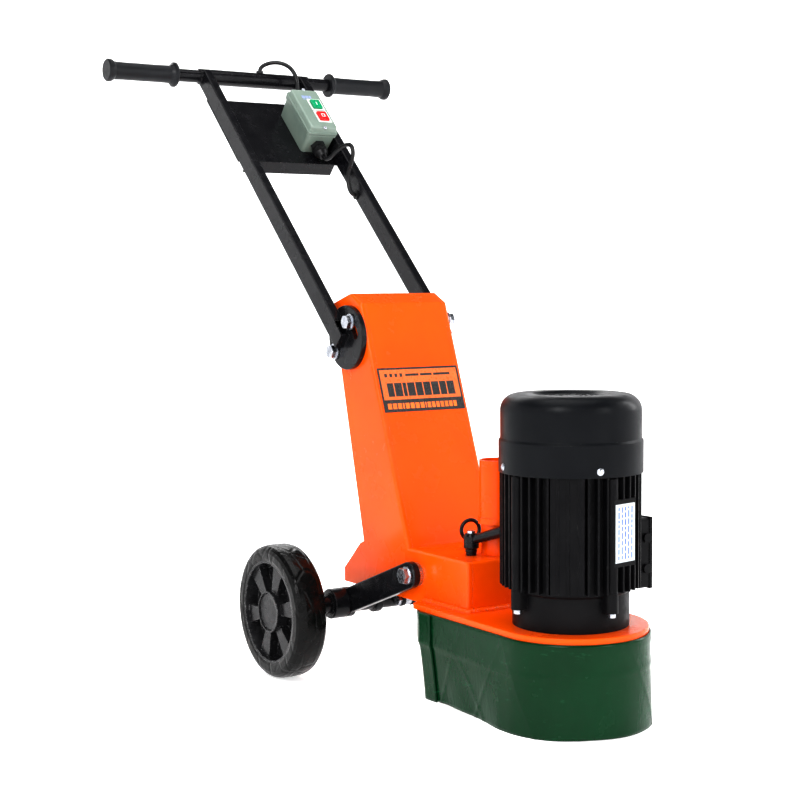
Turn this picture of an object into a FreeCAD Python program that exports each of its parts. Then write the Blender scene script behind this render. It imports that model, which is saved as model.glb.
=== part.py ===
"""Walk-behind concrete floor grinder: an upright motor drives a diamond disc under a D-shaped plate.

Millimetres, +Z up, front of the machine towards -Y, the operator's handlebar towards +Y.
Every shape is drawn with the motor axis on X = 0, Y = 0 and moved back to the row's origin
when it is saved, so that the origin lies under the middle of the whole machine.
"""
import FreeCAD
import Part
import math
import os

V = FreeCAD.Vector
X_AXIS = V(1, 0, 0)
Z_AXIS = V(0, 0, 1)

# ---- driving dimensions ------------------------------------------------------------------
BAR_REACH = 892.0          # motor axis to handlebar axis, along Y
BAR_HEIGHT = 949.0
BAR_HALF = 272.0           # half length of the steel bar
BAR_R = 11.0
SLEEVE_R = 13.6            # thicker sleeve between the two legs
SLEEVE_HALF = 106.0
GRIP_IN = 150.8
GRIP_OUT = 277.3
GRIP_R = 14.7
GRIP_FLANGE_R = 21.0
GRIP_END_R = 19.0

DISC_Y = 436.5             # centre of the handle's pivot discs
DISC_Z = 506.2
DISC_R = 49.0
DISC_IN = 79.0
DISC_OUT = 87.0
LEG_OUT = 102.0
LEG_DEPTH = 30.6
LEG_WALL = 2.0
TILT_Y = DISC_Y + 30.0     # bolt that the handle swings about
TILT_Z = DISC_Z - 22.0
PIVOT_R = 34.0
SLOT_R = 65.0              # radius of the slot about that bolt
SLOT_REST = 135            # where the clamping bolt sits in the slot, degrees
SLOT_FROM = 126.0
SLOT_TO = 156.0

PLATE_R = 104.0            # half width of the base plate and radius of its nose
PLATE_REAR = 236.0
PLATE_TOP = 133.0
PLATE_T = 7.0
BAND_CORNER = 34.0         # the rim and the skirt cut the plate's rear corners
SKIRT_T = 3.0
SKIRT_R = PLATE_R + SKIRT_T
RIM_T = 4.0
RIM_H = 42.0

BODY_HALF = 78.6           # half width of the chassis and neck
WALL = 4.0
DECK_Y = 127.3             # front wall of the chassis box
DECK_Z = 203.2
NECK_Y = 277.9             # foot of the neck's front face
NECK_TOP = ((405.5, 558.5), (433.7, 572.8), (487.0, 557.0))
NECK_BACK = (400.6, 197.6)
WING = ((411.4, 193.0), (458.7, 148.6), (458.7, 128.0))
LABEL_RISE = 205.0
LABEL_H = 69.0
SEAM = 70.0                # where the side shells end and the plates between them start

ARM_Y = 254.0              # bolts that the wheel frame swings about
ARM_Z = 168.5
ARM_IN = 85.5
ARM_OUT = 95.5
ARM_DEPTH = 38.0
AXLE_Y = 434.3
WHEEL_R = 100.0
WHEEL_IN = 178.4
WHEEL_OUT = 228.4
AXLE_R = 10.0
TUBE_R = 16.8
BEARING_R = 18.0
CAP_SINK = 5.6             # the hub caps sit this deep in their rings
COLLAR_R = 23.0

PIN_Y = 405.0              # clevis pin of the height adjuster
PIN_Z = 100.0
NUT_Y = 388.0              # trunnion of the height adjuster
NUT_Z = 178.0
SPINDLE_R = 6.0

FIN_R = 93.5
ROOT_R = 83.0
FRAME_BOTTOM = 186.0
FRAME_TOP = 352.0
COWL_BOTTOM = 337.6
COWL_TOP = 441.0
COWL_R = 96.0
SHIELD_R = 78.0
SHAFT_R = 12.5
FLANGE_BOLT_R = 87.0
FLANGE_BOLT_TURN = -1.5    # the four flange bolts stand this far round from the X and Y axes
EAR_R = 8.5
EAR_BOTTOM = 160.5         # the ears that the frame's long screws go up through
STUD_R = 57.0              # screws that hold the motor down, from under the plate
STUD_TURN = 45.0
PAD_TURNS = (-131.5, 131.5)
TERMINAL_TURN = 5.0
NAMEPLATE_TURN = -79.5
COWL_SCREW_TURN = -105.7
COWL_SCREW_Z = 346.0
COWL_SKIN = 1.6

PORT_Y = 166.0             # vacuum port
PORT_R = 22.5
PORT_SLEEVE_R = 25.0
PORT_TOP = 338.0
LEVER_X = -38.0
LEVER_Y = 176.0
LEVER_TURN = -74.0
PLUNGER_X = -4.0
PLUNGER_Y = 226.0

BOX_X = (27.5, 86.0)       # switch box across the handle
BOX_S = (68.5, 178.5)      # and down it, from the handlebar axis
BOX_BACK = -15.3
BOX_SEAM = 25.0
BOX_FACE = 40.0
BUTTON_X = 64.0
BUTTON_S = (114.0, 146.0)
CAP_X = 8.7                # half sizes of a button cap
CAP_S = 10.7
GLAND_X = 57.0             # lower cable gland, off the legs' middle plane by 0
TOP_GLAND_X = 64.0         # cable bush in the upper end of the box
TOP_GLAND_OFF = 4.0
CABLE_R = 3.5

MOTOR_Y = -(BAR_REACH + GRIP_FLANGE_R + SKIRT_R) / 2 + SKIRT_R
SHIFT = V(0, MOTOR_Y, 0)

LEAN = (NECK_TOP[0][0] - NECK_Y) / (NECK_TOP[0][1] - DECK_Z)   # of the neck's front face, back per unit of rise

# unit vectors of the handle: down the legs, and out of the face that looks up
_span = math.hypot(BAR_REACH - DISC_Y, BAR_HEIGHT - DISC_Z)
DOWN = V(0, (DISC_Y - BAR_REACH) / _span, (DISC_Z - BAR_HEIGHT) / _span)
FACE = V(0, DOWN.z, -DOWN.y)
BAR = V(0, BAR_REACH, BAR_HEIGHT)

# routes of the two cables: the upper in machine coordinates, the lower as (x, s, off) on the handle
ENTRY_S = 293.0            # where the motor cable goes into the right leg
ENTRY_OFF = -8.0
ROUTE_TOP = [(64.0, 842.96, 906.93), (64.0, 850.1, 913.9), (64.5, 848.5, 928.0), (64.0, 847.0, 943.0),
             (62.0, 850.5, 958.0), (57.0, 860.0, 971.5), (48.0, 871.5, 979.5), (36.0, 881.0, 981.5),
             (23.5, 888.5, 978.5), (13.0, 892.0, 971.0), (13.0, 892.0, 962.6)]
ROUTE_LOW = [(57.0, 204.5, 0.0), (57.4, 212.0, 0.4), (59.5, 217.0, 6.5), (63.0, 219.0, 16.0),
             (67.5, 221.0, 31.0), (72.0, 227.0, 46.0), (75.0, 238.0, 56.0), (76.0, 251.0, 50.0),
             (75.8, 257.5, 35.0), (75.3, 260.5, 19.0), (75.0, 267.0, 8.0), (75.0, 277.0, 1.0),
             (76.0, 285.5, -4.0), (78.5, 291.0, -6.5), (82.5, 293.0, -8.0), (90.0, 293.0, -8.0)]


# ---- helpers -----------------------------------------------------------------------------
def on_handle(x, s, off):
    """Point at x across the handle, s down its legs and off out of their middle plane."""
    return V(x, 0, 0) + BAR + DOWN * s + FACE * off


def round_at(radius, turn, z):
    """Point at a radius and a turn in degrees about the motor axis."""
    return V(radius * math.cos(math.radians(turn)), radius * math.sin(math.radians(turn)), z)


def box(x0, x1, y0, y1, z0, z1):
    return Part.makeBox(x1 - x0, y1 - y0, z1 - z0, V(x0, y0, z0))


def rod(radius, start, end):
    return Part.makeCylinder(radius, (end - start).Length, start, end - start)


def x_rod(radius, x0, x1, y, z):
    return rod(radius, V(x0, y, z), V(x1, y, z))


def z_rod(radius, z0, z1, x=0.0, y=0.0):
    return rod(radius, V(x, y, z0), V(x, y, z1))


def x_ring(outer, inner, x0, x1, y, z):
    return x_rod(outer, x0, x1, y, z).cut(x_rod(inner, x0 - 1, x1 + 1, y, z))


def z_ring(outer, inner, z0, z1, x=0.0, y=0.0):
    return z_rod(outer, z0, z1, x, y).cut(z_rod(inner, z0 - 1, z1 + 1, x, y))


def fused(shapes):
    """One clean solid from overlapping shapes."""
    return shapes[0].fuse(shapes[1:]).removeSplitter()


def face_yz(points, x):
    wire = Part.makePolygon([V(x, y, z) for y, z in points + points[:1]])
    return Part.Face(wire)


def plate_yz(points, x0, x1):
    return face_yz(points, x0).extrude(V(x1 - x0, 0, 0))


def turned(points, centre=V(0, 0, 0)):
    """Solid of revolution about the vertical through centre, from (radius, z) points."""
    wire = Part.makePolygon([centre + V(r, 0, z) for r, z in points + points[:1]])
    return Part.Face(wire).revolve(centre, Z_AXIS, 360)


def turned_x(points, y, z):
    """Solid of revolution about a line along X, from (x, radius) points."""
    wire = Part.makePolygon([V(x, y, z + r) for x, r in points + points[:1]])
    return Part.Face(wire).revolve(V(0, y, z), X_AXIS, 360)


def handle_block(x0, x1, s0, s1, off0, off1):
    """Box lined up with the handle's legs."""
    corners = [(s0, off0), (s1, off0), (s1, off1), (s0, off1), (s0, off0)]
    wire = Part.makePolygon([on_handle(x0, s, off) for s, off in corners])
    return Part.Face(wire).extrude(V(x1 - x0, 0, 0))


def hex_prism(across, start, end):
    """Hexagonal bar from start to end, given its width across flats."""
    way = (end - start).normalize()
    side = way.cross(Z_AXIS if abs(way.z) < 0.9 else X_AXIS).normalize()
    other = way.cross(side)
    reach = across / math.sqrt(3)
    ring = []
    for step in range(7):
        turn = math.radians(60 * step)
        ring.append(start + side * (reach * math.cos(turn)) + other * (reach * math.sin(turn)))
    return Part.Face(Part.makePolygon(ring)).extrude(end - start)


def hex_head(across, start, end):
    """Bolt head with the chamfered crown of a forged hexagon."""
    way = (end - start).normalize()
    height = (end - start).Length
    reach = across / math.sqrt(3)
    cone = Part.makeCone(reach + height * 1.6, reach * 0.90, height, start, way)
    return hex_prism(across, start, end).common(cone)


def soften(shape, radius, chosen):
    """Fillet the edges whose middle point passes the test."""
    edges = [e for e in shape.Edges if chosen(e.valueAt((e.FirstParameter + e.LastParameter) / 2), e)]
    return shape.makeFillet(radius, edges)


def straight(edge):
    return isinstance(edge.Curve, Part.Line)


def tube_path(points):
    """Wire of straight runs joined by tangent arcs, and the arcs' radii."""
    edges = []
    radii = []
    last = points[0]
    for before, here, after in zip(points, points[1:], points[2:]):
        back = before - here
        ahead = after - here
        run = min(back.Length, ahead.Length)
        turn = math.pi - back.getAngle(ahead)
        radius = 0.45 * run / math.tan(turn / 2)
        reach = 0.45 * run
        start = here + back.normalize() * reach
        end = here + ahead.normalize() * reach
        bisector = (back + ahead).normalize()
        centre = here + bisector * math.hypot(radius, reach)
        middle = centre - bisector * radius
        edges.append(Part.LineSegment(last, start).toShape())
        edges.append(Part.Arc(start, middle, end).toShape())
        radii.append(radius)
        last = end
    edges.append(Part.LineSegment(last, points[-1]).toShape())
    return Part.Wire(edges), radii


def cable(name, points, radius):
    """Round cable along a route, with its length and bend radii printed."""
    path, radii = tube_path(points)
    first = (points[1] - points[0]).normalize()
    profile = Part.Wire(Part.makeCircle(radius, points[0], first))
    tube = path.makePipeShell([profile], True, True)
    expected = math.pi * radius ** 2 * path.Length
    print(name, "length", round(path.Length, 1), "radii", [round(r, 1) for r in radii],
          "volume ratio", round(tube.Volume / expected, 4))
    return tube


def save(name, shapes):
    """Write one node's solids, moved to the row's origin."""
    shapes = shapes if isinstance(shapes, list) else [shapes]
    solids = [solid for shape in shapes for solid in shape.Solids]
    node = Part.makeCompound(solids) if len(solids) > 1 else solids[0]
    node.translate(SHIFT)
    node.exportStep("parts/" + name + ".step")


def mirrored(shapes):
    return [shape.mirror(V(0, 0, 0), X_AXIS) for shape in shapes]


def both(shapes):
    """The shapes and their mirror images across the machine's middle plane."""
    return shapes + mirrored(shapes)


def sides(name, maker):
    """Write the left and right nodes of a mirrored pair; left is the -X side."""
    right = maker()
    save(name + "_left", mirrored(right))
    save(name + "_right", right)


# ---- base plate, skirt and dust port -----------------------------------------------------
def d_face(inset, rear_inset, corner, z):
    """Horizontal D: half round nose about the motor axis, straight flanks, rounded rear corners."""
    r = PLATE_R - inset
    rear = PLATE_REAR - rear_inset
    c = corner
    diag = c * (1 - math.sqrt(0.5))
    edges = [
        Part.Arc(V(-r, 0, z), V(0, -r, z), V(r, 0, z)).toShape(),
        Part.LineSegment(V(r, 0, z), V(r, rear - c, z)).toShape(),
        Part.Arc(V(r, rear - c, z), V(r - diag, rear - diag, z), V(r - c, rear, z)).toShape(),
        Part.LineSegment(V(r - c, rear, z), V(c - r, rear, z)).toShape(),
        Part.Arc(V(c - r, rear, z), V(diag - r, rear - diag, z), V(-r, rear - c, z)).toShape(),
        Part.LineSegment(V(-r, rear - c, z), V(-r, 0, z)).toShape(),
    ]
    return Part.Face(Part.Wire(edges))


def d_band(outset, thickness, z0, z1):
    """Upright band that follows the plate's outline, from outset inwards by thickness."""
    corner = BAND_CORNER + outset
    outer = d_face(-outset, -outset, corner, z0).extrude(V(0, 0, z1 - z0))
    inner = d_face(thickness - outset, thickness - outset, corner - thickness, z0)
    return outer.cut(inner.extrude(V(0, 0, z1 - z0)))


def base():
    plate = d_face(0, 0, 14.0, PLATE_TOP - PLATE_T).extrude(V(0, 0, PLATE_T))
    plate = soften(plate, 1.2, lambda p, e: abs(p.z - PLATE_TOP) < 0.1)
    plate = plate.cut(z_rod(44.0, PLATE_TOP - PLATE_T - 1, PLATE_TOP + 1))
    plate = plate.cut(z_rod(30.0, PLATE_TOP - PLATE_T - 1, PLATE_TOP + 1, 0, PORT_Y))
    for quarter in range(4):
        hole = round_at(STUD_R, STUD_TURN + 90 * quarter, 0)
        plate = plate.cut(z_rod(4.9, PLATE_TOP - PLATE_T - 1, PLATE_TOP + 1, hole.x, hole.y))
    under = PLATE_TOP - PLATE_T
    save("base_plate", [plate, d_band(0, RIM_T, under - RIM_H, under)])
    save("dust_skirt", d_band(SKIRT_T, SKIRT_T, 0, under - 0.5))


def port():
    """Vacuum port: a pipe on the deck and the wider sleeve with its collar that a hose slips over."""
    pipe = z_ring(PORT_R, PORT_R - 2.5, DECK_Z, 300.0, 0, PORT_Y)
    sleeve = fused([z_ring(PORT_SLEEVE_R, PORT_R + 0.1, 247.0, PORT_TOP, 0, PORT_Y),
                    z_ring(PORT_SLEEVE_R + 1.8, PORT_R + 0.1, 247.0, 256.0, 0, PORT_Y)])
    save("dust_port", [pipe, sleeve])


# ---- chassis and neck --------------------------------------------------------------------
def shell():
    """Hollow welded body: chassis box in front, neck behind, one pair of side walls."""
    neck = [(264.0, PLATE_TOP), (264.0, DECK_Z - 20.0), (NECK_Y - 20.0 * LEAN, DECK_Z - 20.0)]
    neck += list(NECK_TOP) + [NECK_BACK] + list(WING)
    neck += [(PLATE_REAR + 0.4, WING[2][1]), (PLATE_REAR + 0.4, PLATE_TOP)]
    outer = plate_yz(neck, -BODY_HALF, BODY_HALF)
    outer = soften(outer, 5.0, lambda p, e: abs(abs(p.x) - BODY_HALF) < 0.1 and (
        (p.z > DECK_Z + 20 and abs((p.y - NECK_Y) - (p.z - DECK_Z) * LEAN) < 3)
        or (p.z > 560 and p.y < 425)))
    front = box(-BODY_HALF, BODY_HALF, DECK_Y, 300.0, PLATE_TOP, DECK_Z)
    front = soften(front, 4.0, lambda p, e: p.y < 299 and p.z > PLATE_TOP + 1)
    deep = Part.Face(Part.makePolygon([V(0, y, z) for y, z in neck + neck[:1]])).makeOffset2D(-WALL)
    reach = BODY_HALF - WALL
    cave = deep.extrude(V(reach, 0, 0)).fuse(deep.extrude(V(-reach, 0, 0)))
    cave = cave.fuse(box(-reach, reach, DECK_Y + WALL, 300.0, PLATE_TOP - 20, DECK_Z - WALL))
    cave = cave.fuse(box(-reach, reach, PLATE_REAR - 10, 454.7, PLATE_TOP - 20, PLATE_TOP + 12))
    cave = cave.fuse(box(-reach, reach, 396.0, 480.0, PLATE_TOP - 20, NECK_BACK[1] + 0.0))
    body = outer.fuse(front).cut(cave)
    body = body.cut(z_rod(PORT_R - 2.5, DECK_Z - 10, DECK_Z + 5, 0, PORT_Y))
    for side in (-1, 1):
        body = body.cut(x_rod(6.0, side * 60, side * 90, ARM_Y, ARM_Z))
        for place in (clamp_place(), (TILT_Y, TILT_Z)):
            body = body.cut(x_rod(6.0, side * SEAM, side * 90, *place))
    body = body.cut(z_rod(6.5, DECK_Z - 10, DECK_Z + 5, LEVER_X, LEVER_Y))
    body = body.cut(z_rod(6.0, DECK_Z - 10, DECK_Z + 5, PLUNGER_X, PLUNGER_Y))
    return body


def slot_place(turn):
    """Point of the handle's slot at a turn about the bolt that the handle swings on."""
    out = round_at(SLOT_R, turn, 0)
    return TILT_Y + out.x, TILT_Z + out.y


def clamp_place():
    return slot_place(SLOT_REST)


def chassis():
    body = shell()
    tall = (0, 700)
    left = body.common(box(-120, -SEAM, 0, 600, *tall))
    right = body.common(box(SEAM, 120, 0, 600, *tall))
    middle = body.common(box(-SEAM, SEAM, 0, 600, *tall))
    deck = middle.common(box(-SEAM, SEAM, 0, NECK_Y - 4.0, *tall))
    upper = middle.cut(box(-SEAM, SEAM, 0, NECK_Y - 4.0, *tall))
    slant = [(NECK_BACK[0] - WALL - 3, 150.0), (NECK_TOP[2][0] - WALL - 3, 553.0),
             (NECK_TOP[2][0] - WALL - 3, 640.0), (600.0, 640.0), (600.0, 150.0)]
    rear_zone = plate_yz(slant, -SEAM, SEAM)
    save("side_shell_left", left)
    save("side_shell_right", right)
    save("chassis_deck", [deck, weld_seam()])
    save("neck_front", upper.cut(rear_zone))
    save("neck_back", upper.common(rear_zone))
    label()


def weld_seam():
    """Fillet weld along the foot of the chassis box, round its front and both sides."""
    z = PLATE_TOP
    x = BODY_HALF + 1.0
    y = DECK_Y - 1.0
    r = 4.2
    runs = [(V(-x, y, z), V(-x, PLATE_REAR - 2, z)), (V(x, y, z), V(x, PLATE_REAR - 2, z)), (V(-x, y, z), V(x, y, z))]
    shapes = [rod(r, start, end) for start, end in runs]
    shapes += [Part.makeSphere(r, V(side * x, y, z)) for side in (-1, 1)]
    line = fused(shapes).common(box(-120, 120, 0, 300, z, z + 20))
    return line.cut(box(-BODY_HALF, BODY_HALF, DECK_Y, 300, 100, 200))


def label():
    """Thin printed plate on the neck's front face."""
    rise = math.hypot(NECK_TOP[0][0] - NECK_Y, NECK_TOP[0][1] - DECK_Z)
    up = V(0, (NECK_TOP[0][0] - NECK_Y) / rise, (NECK_TOP[0][1] - DECK_Z) / rise)
    out = V(0, -up.z, up.y)
    foot = V(0, NECK_Y, DECK_Z) + up * LABEL_RISE
    half = BODY_HALF - 6.0
    ring = [foot + V(-half, 0, 0), foot + V(half, 0, 0),
            foot + V(half, 0, 0) + up * LABEL_H, foot + V(-half, 0, 0) + up * LABEL_H, foot + V(-half, 0, 0)]
    sheet = Part.Face(Part.makePolygon(ring)).extrude(out * 0.5)
    save("neck_label", sheet)


# ---- motor -------------------------------------------------------------------------------
def end_shield():
    """Lower end shield: a plain drum on the plate with four ears under the frame and a bearing seat inside."""
    floor = PLATE_TOP
    profile = [(30.0, floor), (SHIELD_R, floor), (SHIELD_R, FRAME_BOTTOM - 7), (SHIELD_R + 3, FRAME_BOTTOM - 4),
               (SHIELD_R + 3, FRAME_BOTTOM), (68.0, FRAME_BOTTOM), (68.0, floor + 12), (38.0, floor + 12),
               (38.0, floor + 36), (26.0, floor + 36), (26.0, floor + 20), (18.0, floor + 20), (18.0, floor + 8),
               (30.0, floor + 8)]
    parts = [turned(profile)]
    for quarter in range(4):
        turn = FLANGE_BOLT_TURN + 90 * quarter
        ear = round_at(FLANGE_BOLT_R, turn, EAR_BOTTOM)
        inner = round_at(72.0, turn, EAR_BOTTOM)
        side = V(0, 0, 1).cross(round_at(1.0, turn, 0)) * EAR_R
        web = Part.makePolygon([inner + side, ear + side, ear - side, inner - side, inner + side])
        parts.append(Part.Face(web).extrude(V(0, 0, FRAME_BOTTOM - EAR_BOTTOM)))
        parts.append(z_rod(EAR_R, EAR_BOTTOM, FRAME_BOTTOM, ear.x, ear.y))
    shield = fused(parts)
    for quarter in range(4):
        ear = round_at(FLANGE_BOLT_R, FLANGE_BOLT_TURN + 90 * quarter, 0)
        shield = shield.cut(z_rod(3.0, EAR_BOTTOM - 1, FRAME_BOTTOM + 1, ear.x, ear.y))
        stud = round_at(STUD_R, STUD_TURN + 90 * quarter, 0)
        shield = shield.cut(z_rod(4.9, floor - 1, floor + 10.1, stud.x, stud.y))
    return shield


def fins():
    """Ribbed frame: a tube, straight cooling fins, and smooth pads that break the fins."""
    parts = [z_rod(ROOT_R, FRAME_BOTTOM, FRAME_TOP)]
    count = 44
    for index in range(count):
        turn = 360.0 * index / count
        fin = box(ROOT_R - 3, FIN_R, -1.5, 1.5, FRAME_BOTTOM, FRAME_TOP - 12)
        fin.rotate(V(0, 0, 0), Z_AXIS, turn)
        parts.append(fin)
    for turn in PAD_TURNS:
        pad = box(ROOT_R - 12, FIN_R - 1.5, -22.0, 22.0, FRAME_BOTTOM, FRAME_TOP - 12)
        pad.rotate(V(0, 0, 0), Z_AXIS, turn)
        parts.append(pad)
    plate_pad = box(ROOT_R - 8, 92.0, -22.0, 22.0, 220.0, 308.0)
    plate_pad.rotate(V(0, 0, 0), Z_AXIS, NAMEPLATE_TURN)
    parts.append(plate_pad)
    seat = box(60.0, 93.5, -36.0, 36.0, 188.0, 268.0)
    seat.rotate(V(0, 0, 0), Z_AXIS, TERMINAL_TURN)
    parts.append(seat)
    for quarter in range(4):
        ear = round_at(FLANGE_BOLT_R, FLANGE_BOLT_TURN + 90 * quarter, 0)
        parts.append(z_rod(8.0, FRAME_BOTTOM, COWL_BOTTOM - 2, ear.x, ear.y))
        out = round_at(1.0, COWL_SCREW_TURN + 90 * quarter, 0)
        at = V(0, 0, COWL_SCREW_Z)
        parts.append(rod(5.4, at + out * 78.0, at + out * (COWL_R - COWL_SKIN - 0.1)))
    frame = fused(parts).cut(z_rod(72.0, FRAME_BOTTOM - 1, FRAME_TOP + 1))
    recess = box(92.0, 110.0, -28.0, 22.0, 220.0, 308.0)
    recess.rotate(V(0, 0, 0), Z_AXIS, NAMEPLATE_TURN)
    frame = frame.cut(recess)
    for quarter in range(4):
        ear = round_at(FLANGE_BOLT_R, FLANGE_BOLT_TURN + 90 * quarter, 0)
        frame = frame.cut(z_rod(3.0, FRAME_BOTTOM - 1, FRAME_BOTTOM + 30, ear.x, ear.y))
        out = round_at(1.0, COWL_SCREW_TURN + 90 * quarter, 0)
        at = V(0, 0, COWL_SCREW_Z)
        frame = frame.cut(rod(2.5, at + out * (ROOT_R - 4), at + out * COWL_R))
    return frame


def motor():
    save("motor_end_shield", end_shield())
    save("motor_frame", fins())
    save("stator", [z_ring(72.0, 50.0, 212.0, 318.0), z_ring(68.0, 52.0, 196.0, 212.0),
                    z_ring(68.0, 52.0, 318.0, 334.0)])
    top = FRAME_TOP
    rear = turned([(26.0, top - 16), (36.0, top - 16), (36.0, top), (ROOT_R + 4, top), (ROOT_R + 4, top + 8),
                   (16.0, top + 8), (16.0, top), (26.0, top)])
    save("motor_rear_shield", rear)
    seat = PLATE_TOP + 20
    save("shaft_bearings", [z_ring(26.0, SHAFT_R + 0.05, seat, seat + 15), z_ring(26.0, SHAFT_R + 0.05, top - 15, top)])
    save("nameplate", nameplate())
    bolts = cowl() + terminal_box()
    for quarter in range(4):
        stud = round_at(STUD_R, STUD_TURN + 90 * quarter, 0)
        below = PLATE_TOP - PLATE_T
        bolts.append(fused([z_rod(4.8, below - 1, PLATE_TOP + 10, stud.x, stud.y),
                            hex_head(16.0, V(stud.x, stud.y, below), V(stud.x, stud.y, below - 6.4))]))
        ear = round_at(FLANGE_BOLT_R, FLANGE_BOLT_TURN + 90 * quarter, 0)
        bolts.append(fused([z_rod(3.0, EAR_BOTTOM - 1, FRAME_BOTTOM + 28, ear.x, ear.y),
                            hex_head(9.0, V(ear.x, ear.y, EAR_BOTTOM), V(ear.x, ear.y, EAR_BOTTOM - 6.0))]))
    save("motor_bolts", bolts)


def cowl():
    """Fan cowl: a pressed cup with a stepped hem, a rounded shoulder and ringed air slots."""
    step_z = COWL_BOTTOM + 42.0
    upper_r = COWL_R - 2.2
    corner = 22.0

    def cup(shrink, floor, top):
        r = upper_r - shrink
        c = corner - shrink
        diag = c * (1 - math.sqrt(0.5))
        lines = [
            Part.LineSegment(V(0, 0, floor), V(COWL_R - shrink, 0, floor)).toShape(),
            Part.LineSegment(V(COWL_R - shrink, 0, floor), V(COWL_R - shrink, 0, step_z)).toShape(),
            Part.LineSegment(V(COWL_R - shrink, 0, step_z), V(r, 0, step_z + 3)).toShape(),
            Part.LineSegment(V(r, 0, step_z + 3), V(r, 0, top - c)).toShape(),
            Part.Arc(V(r, 0, top - c), V(r - diag, 0, top - diag), V(r - c, 0, top)).toShape(),
            Part.LineSegment(V(r - c, 0, top), V(52.0, 0, top)).toShape(),
            Part.LineSegment(V(52.0, 0, top), V(46.0, 0, top - 3.5)).toShape(),
            Part.LineSegment(V(46.0, 0, top - 3.5), V(0, 0, top - 3.5)).toShape(),
            Part.LineSegment(V(0, 0, top - 3.5), V(0, 0, floor)).toShape(),
        ]
        return Part.Face(Part.Wire(lines)).revolve(V(0, 0, 0), Z_AXIS, 360)

    shell_ = cup(0, COWL_BOTTOM, COWL_TOP).cut(cup(COWL_SKIN, COWL_BOTTOM - 5, COWL_TOP - COWL_SKIN))
    slots = []
    for ring, radius in enumerate((14.0, 22.0, 30.0, 38.0)):
        band = z_ring(radius + 2.2, radius - 2.2, COWL_TOP - 9, COWL_TOP + 1)
        for spoke in range(4):
            bar = box(0, 60, -3.0, 3.0, COWL_TOP - 12, COWL_TOP + 3)
            bar.rotate(V(0, 0, 0), Z_AXIS, 90 * spoke + 45 * (ring % 2))
            band = band.cut(bar)
        slots.extend(band.Solids)
    shell_ = shell_.cut(Part.makeCompound(slots))
    screws = []
    for quarter in range(4):
        turn = COWL_SCREW_TURN + 90 * quarter
        out = round_at(1.0, turn, 0)
        at = V(0, 0, COWL_SCREW_Z)
        shell_ = shell_.cut(rod(2.6, at + out * 80, at + out * 110))
        head = Part.makeSphere(6.5, at + out * (COWL_R - 3.6)).common(rod(5.0, at + out * COWL_R, at + out * (COWL_R + 3)))
        screws.append(fused([rod(2.5, at + out * (ROOT_R - 4), at + out * (COWL_R + 0.5)), head]))
    save("fan_cowl", shell_)
    return screws


def nameplate():
    plate = box(92.0, 92.6, -19.5, 19.5, 226.0, 302.0)
    plate.rotate(V(0, 0, 0), Z_AXIS, NAMEPLATE_TURN)
    return plate


def terminal_box():
    z0, z1 = 172.0, 268.0
    half = 37.0
    case = box(93.5, 112.0, -half, half, z0, z1)
    case = soften(case, 4.0, lambda p, e: abs(abs(p.y) - half) < 0.1 and abs(p.z - (z0 + z1) / 2) > 40)
    case = case.cut(box(100.0, 113.0, -half + 3, half - 3, z0 + 3, z1 - 3))
    ear = round_at(FLANGE_BOLT_R, FLANGE_BOLT_TURN - TERMINAL_TURN, 0)
    case = case.cut(z_rod(10.3, z0 - 1, FRAME_BOTTOM + 0.3, ear.x, ear.y))
    case = case.cut(z_rod(8.3, z0 - 1, z1 + 1, ear.x, ear.y))
    lid = box(112.0, 118.5, -half - 1, half + 1, z0 - 1, z1 + 1)
    lid = soften(lid, 2.5, lambda p, e: p.x > 118.4)
    glands = []
    for z in (z0 + 27, z0 + 69):
        case = case.cut(rod(5.8, V(105.0, -half - 5, z), V(105.0, -half + 5, z)))
        glands.append(fused([rod(5.8, V(105.0, -half - 3, z), V(105.0, -half + 3, z)),
                             rod(6.6, V(105.0, -half - 4, z), V(105.0, -half, z))]))
    screws = []
    for y in (-half + 6, half - 6):
        for z in (z0 + 6, z1 - 6):
            lid = lid.cut(rod(2.0, V(100, y, z), V(125, y, z)))
            screws.append(fused([rod(2.0, V(112.0, y, z), V(119, y, z)), rod(3.8, V(118.5, y, z), V(120.6, y, z))]))
    for shape in [case, lid] + glands + screws:
        shape.rotate(V(0, 0, 0), Z_AXIS, TERMINAL_TURN)
    save("terminal_box", [case, lid] + glands)
    return screws


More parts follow.
